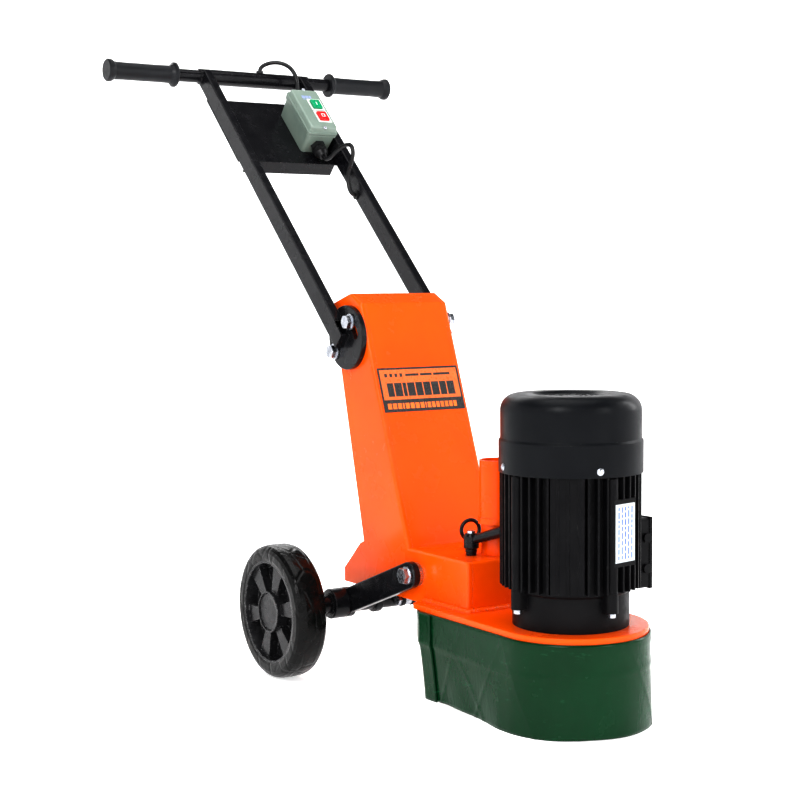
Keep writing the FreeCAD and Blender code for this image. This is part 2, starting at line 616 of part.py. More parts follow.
def rotor():
    core = z_ring(49.5, SHAFT_R + 1.5, 214.0, 316.0)
    steps = [(0, 34.0), (SHAFT_R - 1.5, 34.0), (SHAFT_R - 1.5, 132.0), (SHAFT_R, 132.0), (SHAFT_R, 200.0),
             (SHAFT_R + 1.5, 200.0), (SHAFT_R + 1.5, 328.0), (SHAFT_R, 328.0), (SHAFT_R, 364.0),
             (SHAFT_R - 2.5, 364.0), (SHAFT_R - 2.5, 398.0), (0, 398.0)]
    save("rotor_shaft", [turned(steps), core])
    hub = z_ring(20.0, SHAFT_R - 2.5, 372.0, 396.0)
    disc = z_ring(62.0, 15.0, 372.0, 375.0)
    blades = [hub, disc]
    for index in range(7):
        blade = box(17.0, 74.0, -1.5, 1.5, 373.0, 404.0)
        blade.rotate(V(0, 0, 0), Z_AXIS, 360.0 * index / 7)
        blades.append(blade)
    save("cooling_fan", fused(blades))
    hub_bottom, flange_top = 18.0, 30.0
    barrel = turned([(SHAFT_R - 1.5, 34.0), (SHAFT_R - 1.5, 112.0), (21.0, 112.0), (23.0, 110.0), (23.0, flange_top + 4),
                     (27.0, flange_top), (46.0, flange_top), (46.0, hub_bottom), (5.0, hub_bottom), (5.0, 34.0)])
    bolt_spots = [round_at(34.0, 45 + 90 * quarter, 0) for quarter in range(4)]
    disc = z_rod(90.0, 10.0, hub_bottom)
    disc = disc.cut(z_rod(9.0, 9.0, hub_bottom + 1))
    bolts = []
    for spot in bolt_spots:
        barrel = barrel.cut(z_rod(4.0, hub_bottom - 1, flange_top + 1, spot.x, spot.y))
        disc = disc.cut(z_rod(4.0, 9.0, hub_bottom + 1, spot.x, spot.y))
        disc = disc.cut(z_rod(7.0, 9.0, 14.0, spot.x, spot.y))
        bolts.append(fused([z_rod(4.0, 10.5, flange_top, spot.x, spot.y), z_rod(6.9, 10.5, 14.0, spot.x, spot.y),
                            hex_prism(13.0, V(spot.x, spot.y, flange_top), V(spot.x, spot.y, flange_top + 6.5))]))
    save("drive_hub", barrel)
    save("grinding_disc", disc)
    bolts.append(fused([z_rod(4.9, 18.0, 34.0), z_rod(8.6, 12.0, 18.0)]))
    save("disc_bolts", bolts)
    segments = []
    for index in range(12):
        block = z_ring(87.0, 70.0, 0.8, 10.0).common(box(60, 95, -8.5, 8.5, 0, 12))
        block.rotate(V(0, 0, 0), Z_AXIS, 30 * index)
        segments.append(block)
    save("diamond_segments", segments)


# ---- wheels and their frame --------------------------------------------------------------
def arm():
    """Flat bar from the pivot bolt to the axle, with rounded ends."""
    run = V(0, AXLE_Y - ARM_Y, WHEEL_R - ARM_Z)
    side = X_AXIS.cross(run).normalize() * (ARM_DEPTH / 2)
    a = V(ARM_IN, ARM_Y, ARM_Z)
    b = V(ARM_IN, AXLE_Y, WHEEL_R)
    bar = Part.Face(Part.makePolygon([a + side, b + side, b - side, a - side, a + side]))
    bar = bar.extrude(V(ARM_OUT - ARM_IN, 0, 0))
    bar = fused([bar, x_rod(ARM_DEPTH / 2, ARM_IN, ARM_OUT, ARM_Y, ARM_Z),
                 x_rod(COLLAR_R, ARM_IN, ARM_OUT, AXLE_Y, WHEEL_R)])
    bar = bar.cut(x_rod(8.05, 80, 100, ARM_Y, ARM_Z))
    bar = bar.cut(x_rod(TUBE_R, 80, 100, AXLE_Y, WHEEL_R))
    return soften(bar, 1.5, lambda p, e: abs(p.x - ARM_OUT) < 0.1 and math.hypot(p.y - ARM_Y, p.z - ARM_Z) > 12
                  and math.hypot(p.y - AXLE_Y, p.z - WHEEL_R) > TUBE_R + 2)


def arm_bolt():
    shank = x_rod(6.0, 62.0, 102.0, ARM_Y, ARM_Z)
    head = hex_head(21.0, V(98.4, ARM_Y, ARM_Z), V(106.4, ARM_Y, ARM_Z))
    washer = x_rod(13.0, 95.9, 98.4, ARM_Y, ARM_Z)
    nut = hex_prism(19.0, V(64.0, ARM_Y, ARM_Z), V(BODY_HALF - WALL, ARM_Y, ARM_Z))
    return fused([shank, head, washer, nut])


def arm_bush():
    """Spacer tube that the arm turns on, clamped between the side shell and the washer."""
    tube = x_ring(8.0, 6.0, BODY_HALF, 95.9, ARM_Y, ARM_Z)
    flange = x_ring(17.0, 6.0, BODY_HALF, ARM_IN - 0.4, ARM_Y, ARM_Z)
    return fused([tube, flange])


def wheel_frame():
    sides("wheel_arm", lambda: [arm()])
    save("arm_pivots", both([arm_bolt(), arm_bush()]))
    tube = x_ring(TUBE_R, AXLE_R + 0.0, -124.0, 124.0, AXLE_Y, WHEEL_R)
    collars = []
    for x0, x1, r in ((ARM_OUT, 122.0, COLLAR_R), (-122.0, -ARM_OUT, COLLAR_R), (-46.0, -34.0, 21.0), (34.0, 46.0, 21.0)):
        collar = x_ring(r, TUBE_R, x0, x1, AXLE_Y, WHEEL_R)
        collars.append(soften(collar, 2.0, lambda p, e: not straight(e) and
                              math.hypot(p.y - AXLE_Y, p.z - WHEEL_R) > TUBE_R + 3))
    save("axle_tube", [tube] + collars + clevis_ears())
    shaft = x_rod(AXLE_R, -WHEEL_OUT + 6, WHEEL_OUT - 6, AXLE_Y, WHEEL_R)
    spacer = x_ring(14.0, AXLE_R, 124.0, WHEEL_IN - 0.6, AXLE_Y, WHEEL_R)
    nut = x_ring(13.5, AXLE_R, WHEEL_OUT - 11.6, WHEEL_OUT - 6.0, AXLE_Y, WHEEL_R)
    save("axle", [shaft] + both([spacer, nut]))
    adjuster()


def clevis_ears():
    """Pair of lugs welded on the front of the axle tube."""
    ears = []
    for x0, x1 in ((-11.4, -6.6), (6.6, 11.4)):
        ear = fused([x_rod(11.0, x0, x1, PIN_Y, PIN_Z), box(x0, x1, PIN_Y, AXLE_Y, PIN_Z - 11, PIN_Z + 11)])
        ears.append(ear.cut(x_rod(TUBE_R, x0 - 1, x1 + 1, AXLE_Y, WHEEL_R)).cut(x_rod(5.0, x0 - 1, x1 + 1, PIN_Y, PIN_Z)))
    return ears


def adjuster():
    """Height adjuster: a threaded spindle pinned to the lugs, running through a trunnion in the chassis."""
    pin = fused([x_rod(5.0, -17.0, 19.0, PIN_Y, PIN_Z),
                 hex_head(16.0, V(-11.4, PIN_Y, PIN_Z), V(-17.8, PIN_Y, PIN_Z)),
                 hex_prism(16.0, V(11.4, PIN_Y, PIN_Z), V(17.4, PIN_Y, PIN_Z))])
    save("clevis_pin", pin)
    foot = V(0, PIN_Y, PIN_Z)
    way = (V(0, NUT_Y, NUT_Z) - foot).normalize()
    eye = x_rod(9.5, -6.2, 6.2, PIN_Y, PIN_Z)
    spindle = fused([eye, rod(SPINDLE_R, foot, foot + way * 128.0)]).cut(x_rod(5.06, -20, 20, PIN_Y, PIN_Z))
    save("adjuster_spindle", spindle)
    centre = V(0, NUT_Y, NUT_Z)
    hole = rod(SPINDLE_R + 0.5, centre - way * 60, centre + way * 60)
    bar = x_rod(9.0, -BODY_HALF + WALL + 0.4, BODY_HALF - WALL - 0.4, NUT_Y, NUT_Z)
    block = rod(12.0, centre - way * 9, centre + way * 9)
    nuts = [hex_prism(19.0, centre + way * 9, centre + way * 19).cut(hole),
            hex_prism(19.0, centre - way * 19, centre - way * 9).cut(hole)]
    save("adjuster_trunnion", [fused([bar, block]).cut(hole)] + nuts)


def tyre():
    """Solid tread with a crowned face, rounded shoulders and shallow circumferential grooves."""
    x0, x1 = WHEEL_IN, WHEEL_OUT
    bed = 76.0
    outline = [(x0 + 1, bed), (x0, 80.0), (x0, 89.0), (x0 + 2.0, 94.0), (x0 + 6.0, 97.6), (x0 + 13, 99.4),
               (x0 + 25, WHEEL_R), (x1 - 13, 99.4), (x1 - 6.0, 97.6), (x1 - 2.0, 94.0), (x1, 89.0), (x1, 80.0),
               (x1 - 1, bed)]
    return turned_x(outline, AXLE_Y, WHEEL_R)


def wheel_core():
    """Moulded wheel centre: rim, thin web with six wedge-shaped spokes a side, and an open hub ring."""
    x0, x1 = WHEEL_IN, WHEEL_OUT
    mid = (x0 + x1) / 2
    bore = BEARING_R + 0.05
    outline = [(x0 + 8, bore), (x0 + 8, 31.0), (mid - 4, 34.0), (mid - 4, 66.0), (x0 + 1.5, 72.0), (x0 + 1, 76.0),
               (x1 - 1, 76.0), (x1 - 1.5, 73.0), (mid + 4, 68.0), (mid + 4, 33.0), (x1 - 1.5, 30.8),
               (x1 - 1, 30.2), (x1 - 1, 28.4), (x1 - CAP_SINK, 28.0), (x1 - CAP_SINK, bore)]
    parts = [turned_x(outline, AXLE_Y, WHEEL_R)]
    wedge = [(-7.5, 28.6), (7.5, 28.6), (13.5, 71.0), (-13.5, 71.0), (-7.5, 28.6)]
    for index in range(6):
        for low, high in ((x0 + 9, mid - 3), (mid + 3, x1 - 7)):
            spoke = plate_yz(wedge, low, high)
            spoke.rotate(V(0, 0, 0), X_AXIS, 60 * index + 18)
            spoke.translate(V(0, AXLE_Y, WHEEL_R))
            parts.append(spoke)
    return fused(parts)


def hub_cap():
    """Flat cap sunk in the hub ring."""
    outer = WHEEL_OUT - CAP_SINK
    return turned_x([(outer, 0), (outer, 27.9), (outer + 1.6, 27.9), (outer + 2.2, 26.5), (outer + 1.4, 20.0),
                     (outer + 1.4, 0)], AXLE_Y, WHEEL_R)


def hub_bearings():
    return [x_ring(BEARING_R, AXLE_R, x, x + 11, AXLE_Y, WHEEL_R) for x in (WHEEL_IN + 8, WHEEL_OUT - 23)]


def wheels():
    sides("tyre", lambda: [tyre()])
    sides("wheel_core", lambda: [wheel_core(), hub_cap()])
    sides("hub_bearings", hub_bearings)


# ---- handle ------------------------------------------------------------------------------
def pivot_disc():
    disc = x_rod(DISC_R, DISC_IN, DISC_OUT, DISC_Y, DISC_Z)
    disc = soften(disc, 1.2, lambda p, e: not straight(e) and p.x > DISC_OUT - 0.1)
    disc = disc.cut(x_rod(6.06, 70, 100, TILT_Y, TILT_Z))
    half = 6.8
    ring = x_ring(SLOT_R + half, SLOT_R - half, DISC_IN - 1, DISC_OUT + 1, TILT_Y, TILT_Z)
    wedge = [(TILT_Y, TILT_Z)]
    for turn in (SLOT_FROM, (SLOT_FROM + SLOT_TO) / 2, SLOT_TO):
        out = round_at(2 * SLOT_R, turn, 0)
        wedge.append((TILT_Y + out.x, TILT_Z + out.y))
    cutter = ring.common(plate_yz(wedge, DISC_IN - 1, DISC_OUT + 1))
    ends = [x_rod(half, DISC_IN - 1, DISC_OUT + 1, *slot_place(turn)) for turn in (SLOT_FROM, SLOT_TO)]
    return disc.cut(fused([cutter] + ends))


def pivot_plate():
    """Plain round plate that the right leg turns on; only the left side has a slotted disc."""
    plate = x_rod(PIVOT_R, DISC_IN, DISC_OUT, TILT_Y, TILT_Z)
    return plate.cut(x_rod(6.06, 70, 100, TILT_Y, TILT_Z))


def handle_bolt(place):
    """Bolt, washer and head outside a pivot disc; its shank ends flush inside the side shell."""
    y, z = place
    return fused([x_rod(6.0, SEAM, DISC_OUT + 3, y, z), x_rod(12.5, DISC_OUT + 0.3, DISC_OUT + 2.8, y, z),
                  hex_head(19.0, V(DISC_OUT + 2.8, y, z), V(DISC_OUT + 11.0, y, z))])


def leg():
    half = LEG_DEPTH / 2
    end_s = 642.0
    outer = handle_block(DISC_OUT, LEG_OUT, 0, end_s, -half, half)
    outer = soften(outer, 1.6, lambda p, e: straight(e) and e.Length > 600)
    inner = handle_block(DISC_OUT + LEG_WALL, LEG_OUT - LEG_WALL, -5, end_s - 3, -half + LEG_WALL, half - LEG_WALL)
    tube = outer.cut(inner)
    tube = tube.cut(x_rod(SLEEVE_R, 60, 130, BAR_REACH, BAR_HEIGHT))
    clear = x_rod(15.0, DISC_OUT - 1, LEG_OUT + 1, TILT_Y, TILT_Z)
    tube = tube.cut(clear)
    for turn in range(SLOT_REST - 10, SLOT_REST + 25, 4):
        tube = tube.cut(x_rod(15.5, DISC_OUT - 1, LEG_OUT + 1, *slot_place(turn)))
    return max(tube.Solids, key=lambda solid: solid.Volume)


def grip():
    x0, x1 = GRIP_IN, GRIP_OUT
    outline = [(x0, BAR_R), (x0, GRIP_FLANGE_R - 1.5), (x0 + 1.5, GRIP_FLANGE_R), (x0 + 5, GRIP_FLANGE_R),
               (x0 + 7, GRIP_FLANGE_R - 2.5), (x0 + 12, GRIP_R + 0.4), (x0 + 30, GRIP_R), (x1 - 30, GRIP_R),
               (x1 - 13, GRIP_R + 0.6), (x1 - 9, GRIP_END_R - 1), (x1 - 6, GRIP_END_R), (x1 - 2, GRIP_END_R),
               (x1, GRIP_END_R - 2), (x1, 0), (BAR_HALF, 0), (BAR_HALF, BAR_R)]
    return turned_x(outline, BAR_REACH, BAR_HEIGHT)


def handle():
    disc = pivot_disc()
    right = leg()
    save("handle_leg_left", mirrored([right, disc]))
    save("handle_leg_right", [right.cut(leg_rod(6.0, DISC_OUT - 1, DISC_OUT + 6)), pivot_plate()])
    clamp = handle_bolt(clamp_place())
    bush = x_rod(11.0, BODY_HALF, DISC_OUT + 0.3, *clamp_place())
    save("handle_bolts", both([handle_bolt((TILT_Y, TILT_Z))]) + mirrored([clamp]) + [fused([clamp, bush])])
    sleeve = x_ring(SLEEVE_R, BAR_R, -SLEEVE_HALF, SLEEVE_HALF, BAR_REACH, BAR_HEIGHT)
    tube = x_ring(BAR_R, BAR_R - 2, -BAR_HALF, BAR_HALF, BAR_REACH, BAR_HEIGHT)
    save("handlebar", [tube, sleeve])
    sides("grip", lambda: [grip()])
    panel()
    switch_box()
    cables()


def grommets():
    """Rubber rings where the cables enter the handlebar's sleeve and the right leg."""
    x, y, z = ROUTE_TOP[-1]
    ring = z_rod(6.2, z - 4, z + 3.0, x, y).cut(x_rod(SLEEVE_R, -60, 60, BAR_REACH, BAR_HEIGHT))
    ring = ring.cut(z_rod(CABLE_R, z - 5, z + 9, x, y))
    low = fused([leg_rod(7.6, DISC_OUT - 2.0, DISC_OUT), leg_rod(6.0, DISC_OUT - 1.0, DISC_OUT + 4.0)])
    return [ring, low.cut(leg_rod(CABLE_R, DISC_OUT - 5.0, DISC_OUT + 9.0))]


def leg_rod(radius, x0, x1):
    return rod(radius, on_handle(x0, ENTRY_S, ENTRY_OFF), on_handle(x1, ENTRY_S, ENTRY_OFF))


def panel():
    back = BOX_BACK
    sheet = handle_block(-LEG_OUT, LEG_OUT, 44.0, 206.0, back - 2.0, back)
    flange = handle_block(-DISC_OUT + 2, DISC_OUT - 2, 204.0, 206.0, back - 24.0, back - 2.0)
    whole = sheet.fuse(flange).removeSplitter()
    for spot in mount_spots():
        whole = whole.cut(rod(2.5, on_handle(spot[0], spot[1], back - 5), on_handle(spot[0], spot[1], back + 5)))
    save("switch_panel", whole)


def mount_spots():
    return [(BOX_X[0] + 16, BOX_S[0] + 16), (BOX_X[1] - 16, BOX_S[1] - 16)]


def tapered(x0, x1, s0, s1, off0, off1, draft, corner=7.0):
    """Cast block with rounded corners, whose walls lean in by draft towards off1."""
    def ring(shrink, off):
        r = corner - shrink * 0.5
        a, b, c, d = x0 + shrink, x1 - shrink, s0 + shrink, s1 - shrink
        k = r * (1 - math.sqrt(0.5))
        def at(x, s):
            return on_handle(x, s, off)
        edges = [
            Part.LineSegment(at(a + r, c), at(b - r, c)), Part.Arc(at(b - r, c), at(b - k, c + k), at(b, c + r)),
            Part.LineSegment(at(b, c + r), at(b, d - r)), Part.Arc(at(b, d - r), at(b - k, d - k), at(b - r, d)),
            Part.LineSegment(at(b - r, d), at(a + r, d)), Part.Arc(at(a + r, d), at(a + k, d - k), at(a, d - r)),
            Part.LineSegment(at(a, d - r), at(a, c + r)), Part.Arc(at(a, c + r), at(a + k, c + k), at(a + r, c)),
        ]
        return Part.Wire([edge.toShape() for edge in edges])
    return Part.makeLoft([ring(0, off0), ring(draft, off1)], True, True)


def switch_box():
    x0, x1 = BOX_X
    s0, s1 = BOX_S
    base = tapered(x0 + 1.5, x1 - 1.5, s0 + 1.5, s1 - 1.5, BOX_SEAM, BOX_BACK, 2.0)
    rim = tapered(x0, x1, s0, s1, BOX_SEAM - 4, BOX_SEAM, 0.0)
    base = base.fuse(rim).removeSplitter()
    pocket = tapered(x0 + 5, x1 - 5, s0 + 5, s1 - 5, BOX_SEAM + 1, BOX_BACK + 3, 1.5)
    base = base.cut(pocket)
    lid = tapered(x0 + 1, x1 - 1, s0 + 1, s1 - 1, BOX_SEAM + 1.2, BOX_FACE, 2.5)
    lid = soften(lid, 3.5, lambda p, e: abs((p - BAR).dot(FACE) - BOX_FACE) < 0.05)
    lip = tapered(x0 - 0.5, x1 + 0.5, s0 - 0.5, s1 + 0.5, BOX_SEAM + 1.2, BOX_SEAM + 5.0, 0.0)
    lid = lid.fuse(lip).removeSplitter()
    lid = lid.cut(tapered(x0 + 4.5, x1 - 4.5, s0 + 4.5, s1 - 4.5, BOX_SEAM, BOX_FACE - 3, 2.5))
    gasket = tapered(x0 + 2, x1 - 2, s0 + 2, s1 - 2, BOX_SEAM, BOX_SEAM + 1.2, 0.0)
    gasket = gasket.cut(tapered(x0 + 4.8, x1 - 4.8, s0 + 4.8, s1 - 4.8, BOX_SEAM - 1, BOX_SEAM + 3, 0.0))
    base = base.cut(handle_rod(6.0, TOP_GLAND_X, s0 - 5, s0 + 12, TOP_GLAND_OFF))
    base = base.cut(handle_rod(9.0, GLAND_X, s1 - 12, s1 + 5, 0))
    for spot in mount_spots():
        base = base.cut(rod(2.5, on_handle(spot[0], spot[1], BOX_BACK - 5), on_handle(spot[0], spot[1], BOX_BACK + 8)))
    for s in BUTTON_S:
        lid = lid.cut(button_block(s, 1.6, BOX_FACE - 6, BOX_FACE + 3))
    save("switch_base", [base, contact_block()])
    save("switch_lid", [lid, gasket])
    buttons()
    glands()


def handle_rod(radius, x, s0, s1, off):
    return rod(radius, on_handle(x, s0, off), on_handle(x, s1, off))


def contact_block():
    s0, s1 = BUTTON_S[0] - 14, BUTTON_S[1] + 12
    return handle_block(BUTTON_X - 14, BUTTON_X + 14, s0, s1, BOX_BACK + 3.0, BOX_FACE - 10.5)


def button_block(s, spare, off0, off1):
    """Block the size of a button cap, larger by spare all round."""
    x = CAP_X + spare
    return handle_block(BUTTON_X - x, BUTTON_X + x, s - CAP_S - spare, s + CAP_S + spare, off0, off1)


def buttons():
    bezels = []
    top = BOX_FACE + 4.2
    for name, s in zip(("start_button", "stop_button"), BUTTON_S):
        frame = button_block(s, 4.2, BOX_FACE, BOX_FACE + 1.4).cut(button_block(s, 1.6, BOX_FACE - 2, BOX_FACE + 3))
        sleeve = button_block(s, 1.6, BOX_FACE - 3, BOX_FACE + 0.6)
        bezels.append(fused([frame, sleeve]).cut(button_block(s, 0.4, BOX_FACE - 5, BOX_FACE + 3)))
        cap = button_block(s, 0, BOX_FACE - 6, top)
        cap = soften(cap, 1.6, lambda p, e: abs(e.tangentAt(e.FirstParameter).dot(FACE)) > 0.9)
        cap = soften(cap, 1.0, lambda p, e: abs((p - BAR).dot(FACE) - top) < 0.05)
        save(name, cap)
    save("button_bezels", bezels)
    screws = []
    for x, s in mount_spots():
        shank = rod(2.4, on_handle(x, s, BOX_BACK - 2.5), on_handle(x, s, BOX_BACK + 3.5))
        head = rod(4.5, on_handle(x, s, BOX_BACK - 4.6), on_handle(x, s, BOX_BACK - 2.0))
        inner = rod(3.6, on_handle(x, s, BOX_BACK + 3.05), on_handle(x, s, BOX_BACK + 5.6))
        screws.append(fused([shank, head, inner]))
    save("box_screws", screws)


def glands():
    """Cable glands screwed into the two ends of the box, each a threaded body and a dome nut."""
    s0, s1 = BOX_S
    body = tapered(BOX_X[0] + 1.5, BOX_X[1] - 1.5, s0 + 1.5, s1 - 1.5, BOX_SEAM, BOX_BACK, 2.0)
    bores = handle_rod(6.0, TOP_GLAND_X, s0 - 5, s0 + 12, TOP_GLAND_OFF)
    bores = bores.fuse(handle_rod(9.0, GLAND_X, s1 - 12, s1 + 5, 0))
    walls = body.cut(bores)
    top = fused([handle_rod(6.0, TOP_GLAND_X, s0 - 4, s0 + 6, TOP_GLAND_OFF),
                 handle_rod(8.0, TOP_GLAND_X, s0 - 2, s0 + 4.0, TOP_GLAND_OFF)])
    start = on_handle(GLAND_X, s1 - 3.0, 0)
    collar = hex_prism(23.0, start, start + DOWN * 9.0)
    neck = handle_rod(9.0, GLAND_X, s1 - 8, s1 + 10, 0)
    nut = handle_rod(12.0, GLAND_X, s1 + 7, s1 + 17, 0)
    nose = Part.makeCone(11.0, 6.5, 9.0, on_handle(GLAND_X, s1 + 17, 0), DOWN)
    low = fused([collar, neck, nut, nose])
    save("cable_glands", [top.cut(walls), low.cut(walls)] + grommets())


def cables():
    """Feed cable into the handlebar's sleeve and motor cable into the right leg."""
    save("feed_cable", cable("feed_cable", [V(*p) for p in ROUTE_TOP], CABLE_R))
    save("motor_cable", cable("motor_cable", [on_handle(*p) for p in ROUTE_LOW], CABLE_R))


# ---- clamp lever and plunger -------------------------------------------------------------
def clamp_lever():
    z = DECK_Z
    stem = z_rod(7.6, z + 0.4, z + 6.0, LEVER_X, LEVER_Y)
    hub = turned([(0, z + 5.0), (8.4, z + 5.0), (8.4, z + 9.0), (10.8, z + 11.0), (10.8, z + 27.0),
                  (8.6, z + 31.0), (0, z + 31.0)], V(LEVER_X, LEVER_Y, 0))
    turn = math.radians(LEVER_TURN)
    way = V(math.cos(turn), math.sin(turn), 0)
    root = V(LEVER_X, LEVER_Y, z + 21.0)
    tip = root + way * 62.0 + V(0, 0, 20.0)
    cone = Part.makeCone(6.2, 8.2, (tip - root).Length, root, tip - root)
    ball = Part.makeSphere(8.2, tip)
    lever = fused([stem, hub, cone, ball]).cut(z_rod(4.05, z - 1, z + 32.0, LEVER_X, LEVER_Y))
    save("clamp_lever", lever)
    stud = z_rod(4.0, z - 14.0, z + 31.4, LEVER_X, LEVER_Y)
    screw = z_rod(6.0, z + 31.4, z + 35.0, LEVER_X, LEVER_Y)
    nut = hex_prism(13.0, V(LEVER_X, LEVER_Y, z - WALL - 8), V(LEVER_X, LEVER_Y, z - WALL))
    save("clamp_stud", fused([stud, screw, nut, z_rod(6.5, z - WALL, z, LEVER_X, LEVER_Y)]))


def plunger():
    z = DECK_Z
    body = z_ring(8.5, 4.06, z, z + 6.0, PLUNGER_X, PLUNGER_Y)
    body = body.fuse(z_ring(6.0, 4.06, z - 10.0, z + 1, PLUNGER_X, PLUNGER_Y)).removeSplitter()
    save("plunger_body", body)
    pin = z_rod(4.0, z - 16.0, z + 12.0, PLUNGER_X, PLUNGER_Y)
    ring = Part.makeTorus(14.2, 2.8, V(PLUNGER_X, PLUNGER_Y, z + 27.0), V(-0.2, -0.98, 0))
    cap = z_rod(5.5, z + 6.4, z + 15.6, PLUNGER_X, PLUNGER_Y)
    save("plunger_pin", fused([pin, cap, ring]))


def main():
    os.makedirs("parts", exist_ok=True)
    base()
    port()
    chassis()
    motor()
    rotor()
    wheel_frame()
    wheels()
    handle()
    clamp_lever()
    plunger()


main()
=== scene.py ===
"""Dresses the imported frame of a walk-behind concrete grinder and sets up its studio picture.

The CAD nodes keep their shapes. This script adds what a drawing leaves out: the wavy vinyl skirt,
the two control cables, weld ripples, printed plates and marks, and a procedural finish for every
surface. Metres, +Z up, +Y from the grinding head to the handlebar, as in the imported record.
"""

import logging
import math
import random
from dataclasses import dataclass, field
from enum import Enum
from typing import Callable, Iterable, Optional, Sequence, Union

import bmesh
import bpy
from mathutils import Matrix, Vector


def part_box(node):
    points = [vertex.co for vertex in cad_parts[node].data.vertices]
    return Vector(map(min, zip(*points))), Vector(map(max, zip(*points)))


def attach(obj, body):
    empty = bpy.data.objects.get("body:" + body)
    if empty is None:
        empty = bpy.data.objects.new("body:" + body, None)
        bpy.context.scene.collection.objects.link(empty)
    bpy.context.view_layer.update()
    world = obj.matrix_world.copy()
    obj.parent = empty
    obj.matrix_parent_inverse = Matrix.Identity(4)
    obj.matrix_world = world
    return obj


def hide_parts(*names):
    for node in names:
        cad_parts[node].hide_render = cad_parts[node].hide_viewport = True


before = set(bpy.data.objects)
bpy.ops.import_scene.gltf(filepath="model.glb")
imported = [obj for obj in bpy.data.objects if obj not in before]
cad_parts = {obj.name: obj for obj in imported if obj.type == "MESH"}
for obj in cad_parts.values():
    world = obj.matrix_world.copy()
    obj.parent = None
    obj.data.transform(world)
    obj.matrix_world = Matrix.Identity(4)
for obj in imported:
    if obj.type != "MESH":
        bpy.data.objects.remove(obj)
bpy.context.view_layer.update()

log = logging.getLogger("grinder")
Colour = tuple[float, float, float]
Value = Union[float, Colour, "Wire"]


def centre(node: str) -> Vector:
    """Middle of a CAD node's box at rest.

    Args:
        node: name of the CAD node.
    Returns:
        The middle point, in metres.
    """
    low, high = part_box(node)
    return (Vector(low) + Vector(high)) / 2


MOTOR = centre("fan_cowl")                       # the motor stands upright on this X and Y
BAR = centre("handlebar")
PIVOT_TO_BAR = Vector((0.0, 0.4555, 0.4428))     # along the handle's legs, upwards
DOWN = -PIVOT_TO_BAR.normalized()
FACE = Vector((0.0, DOWN.z, -DOWN.y))            # out of the side of the handle that looks up
LABEL_SLOPE = 0.3591                             # how far the neck's front leans back as it rises


def from_motor(x: float, y: float, z: float) -> Vector:
    """Point given in millimetres from the motor's axis.

    Args:
        x: to the right.
        y: towards the handlebar.
        z: above the floor.
    Returns:
        The point in metres, in the row frame.
    """
    return Vector((MOTOR.x + x / 1000, MOTOR.y + y / 1000, z / 1000))


def on_handle(x: float, s: float, off: float) -> Vector:
    """Point on the handle, in millimetres.

    Args:
        x: across the machine.
        s: down the legs from the handlebar's axis.
        off: out of the legs' middle plane.
    Returns:
        The point in metres, in the row frame.
    """
    return Vector((x / 1000, BAR.y, BAR.z)) + DOWN * (s / 1000) + FACE * (off / 1000)


# ---- shader graph --------------------------------------------------------------------------
class Wire:
    """One output socket with arithmetic, so that a pattern reads like a formula."""

    def __init__(self, graph: "Graph", socket: bpy.types.NodeSocket) -> None:
        """Keeps the socket and the graph that its arithmetic adds nodes to."""
        self.graph = graph
        self.socket = socket

    def _math(self, operation: str, first: Value, second: Value) -> "Wire":
        """Adds a Math node."""
        return self.graph.make("ShaderNodeMath", {"operation": operation}, {0: first, 1: second})

    def __add__(self, other: Value) -> "Wire":
        """Self plus other."""
        return self._math("ADD", self, other)

    def __radd__(self, other: Value) -> "Wire":
        """Other plus self."""
        return self._math("ADD", other, self)

    def __mul__(self, other: Value) -> "Wire":
        """Self times other."""
        return self._math("MULTIPLY", self, other)

    def __rmul__(self, other: Value) -> "Wire":
        """Other times self."""
        return self._math("MULTIPLY", other, self)


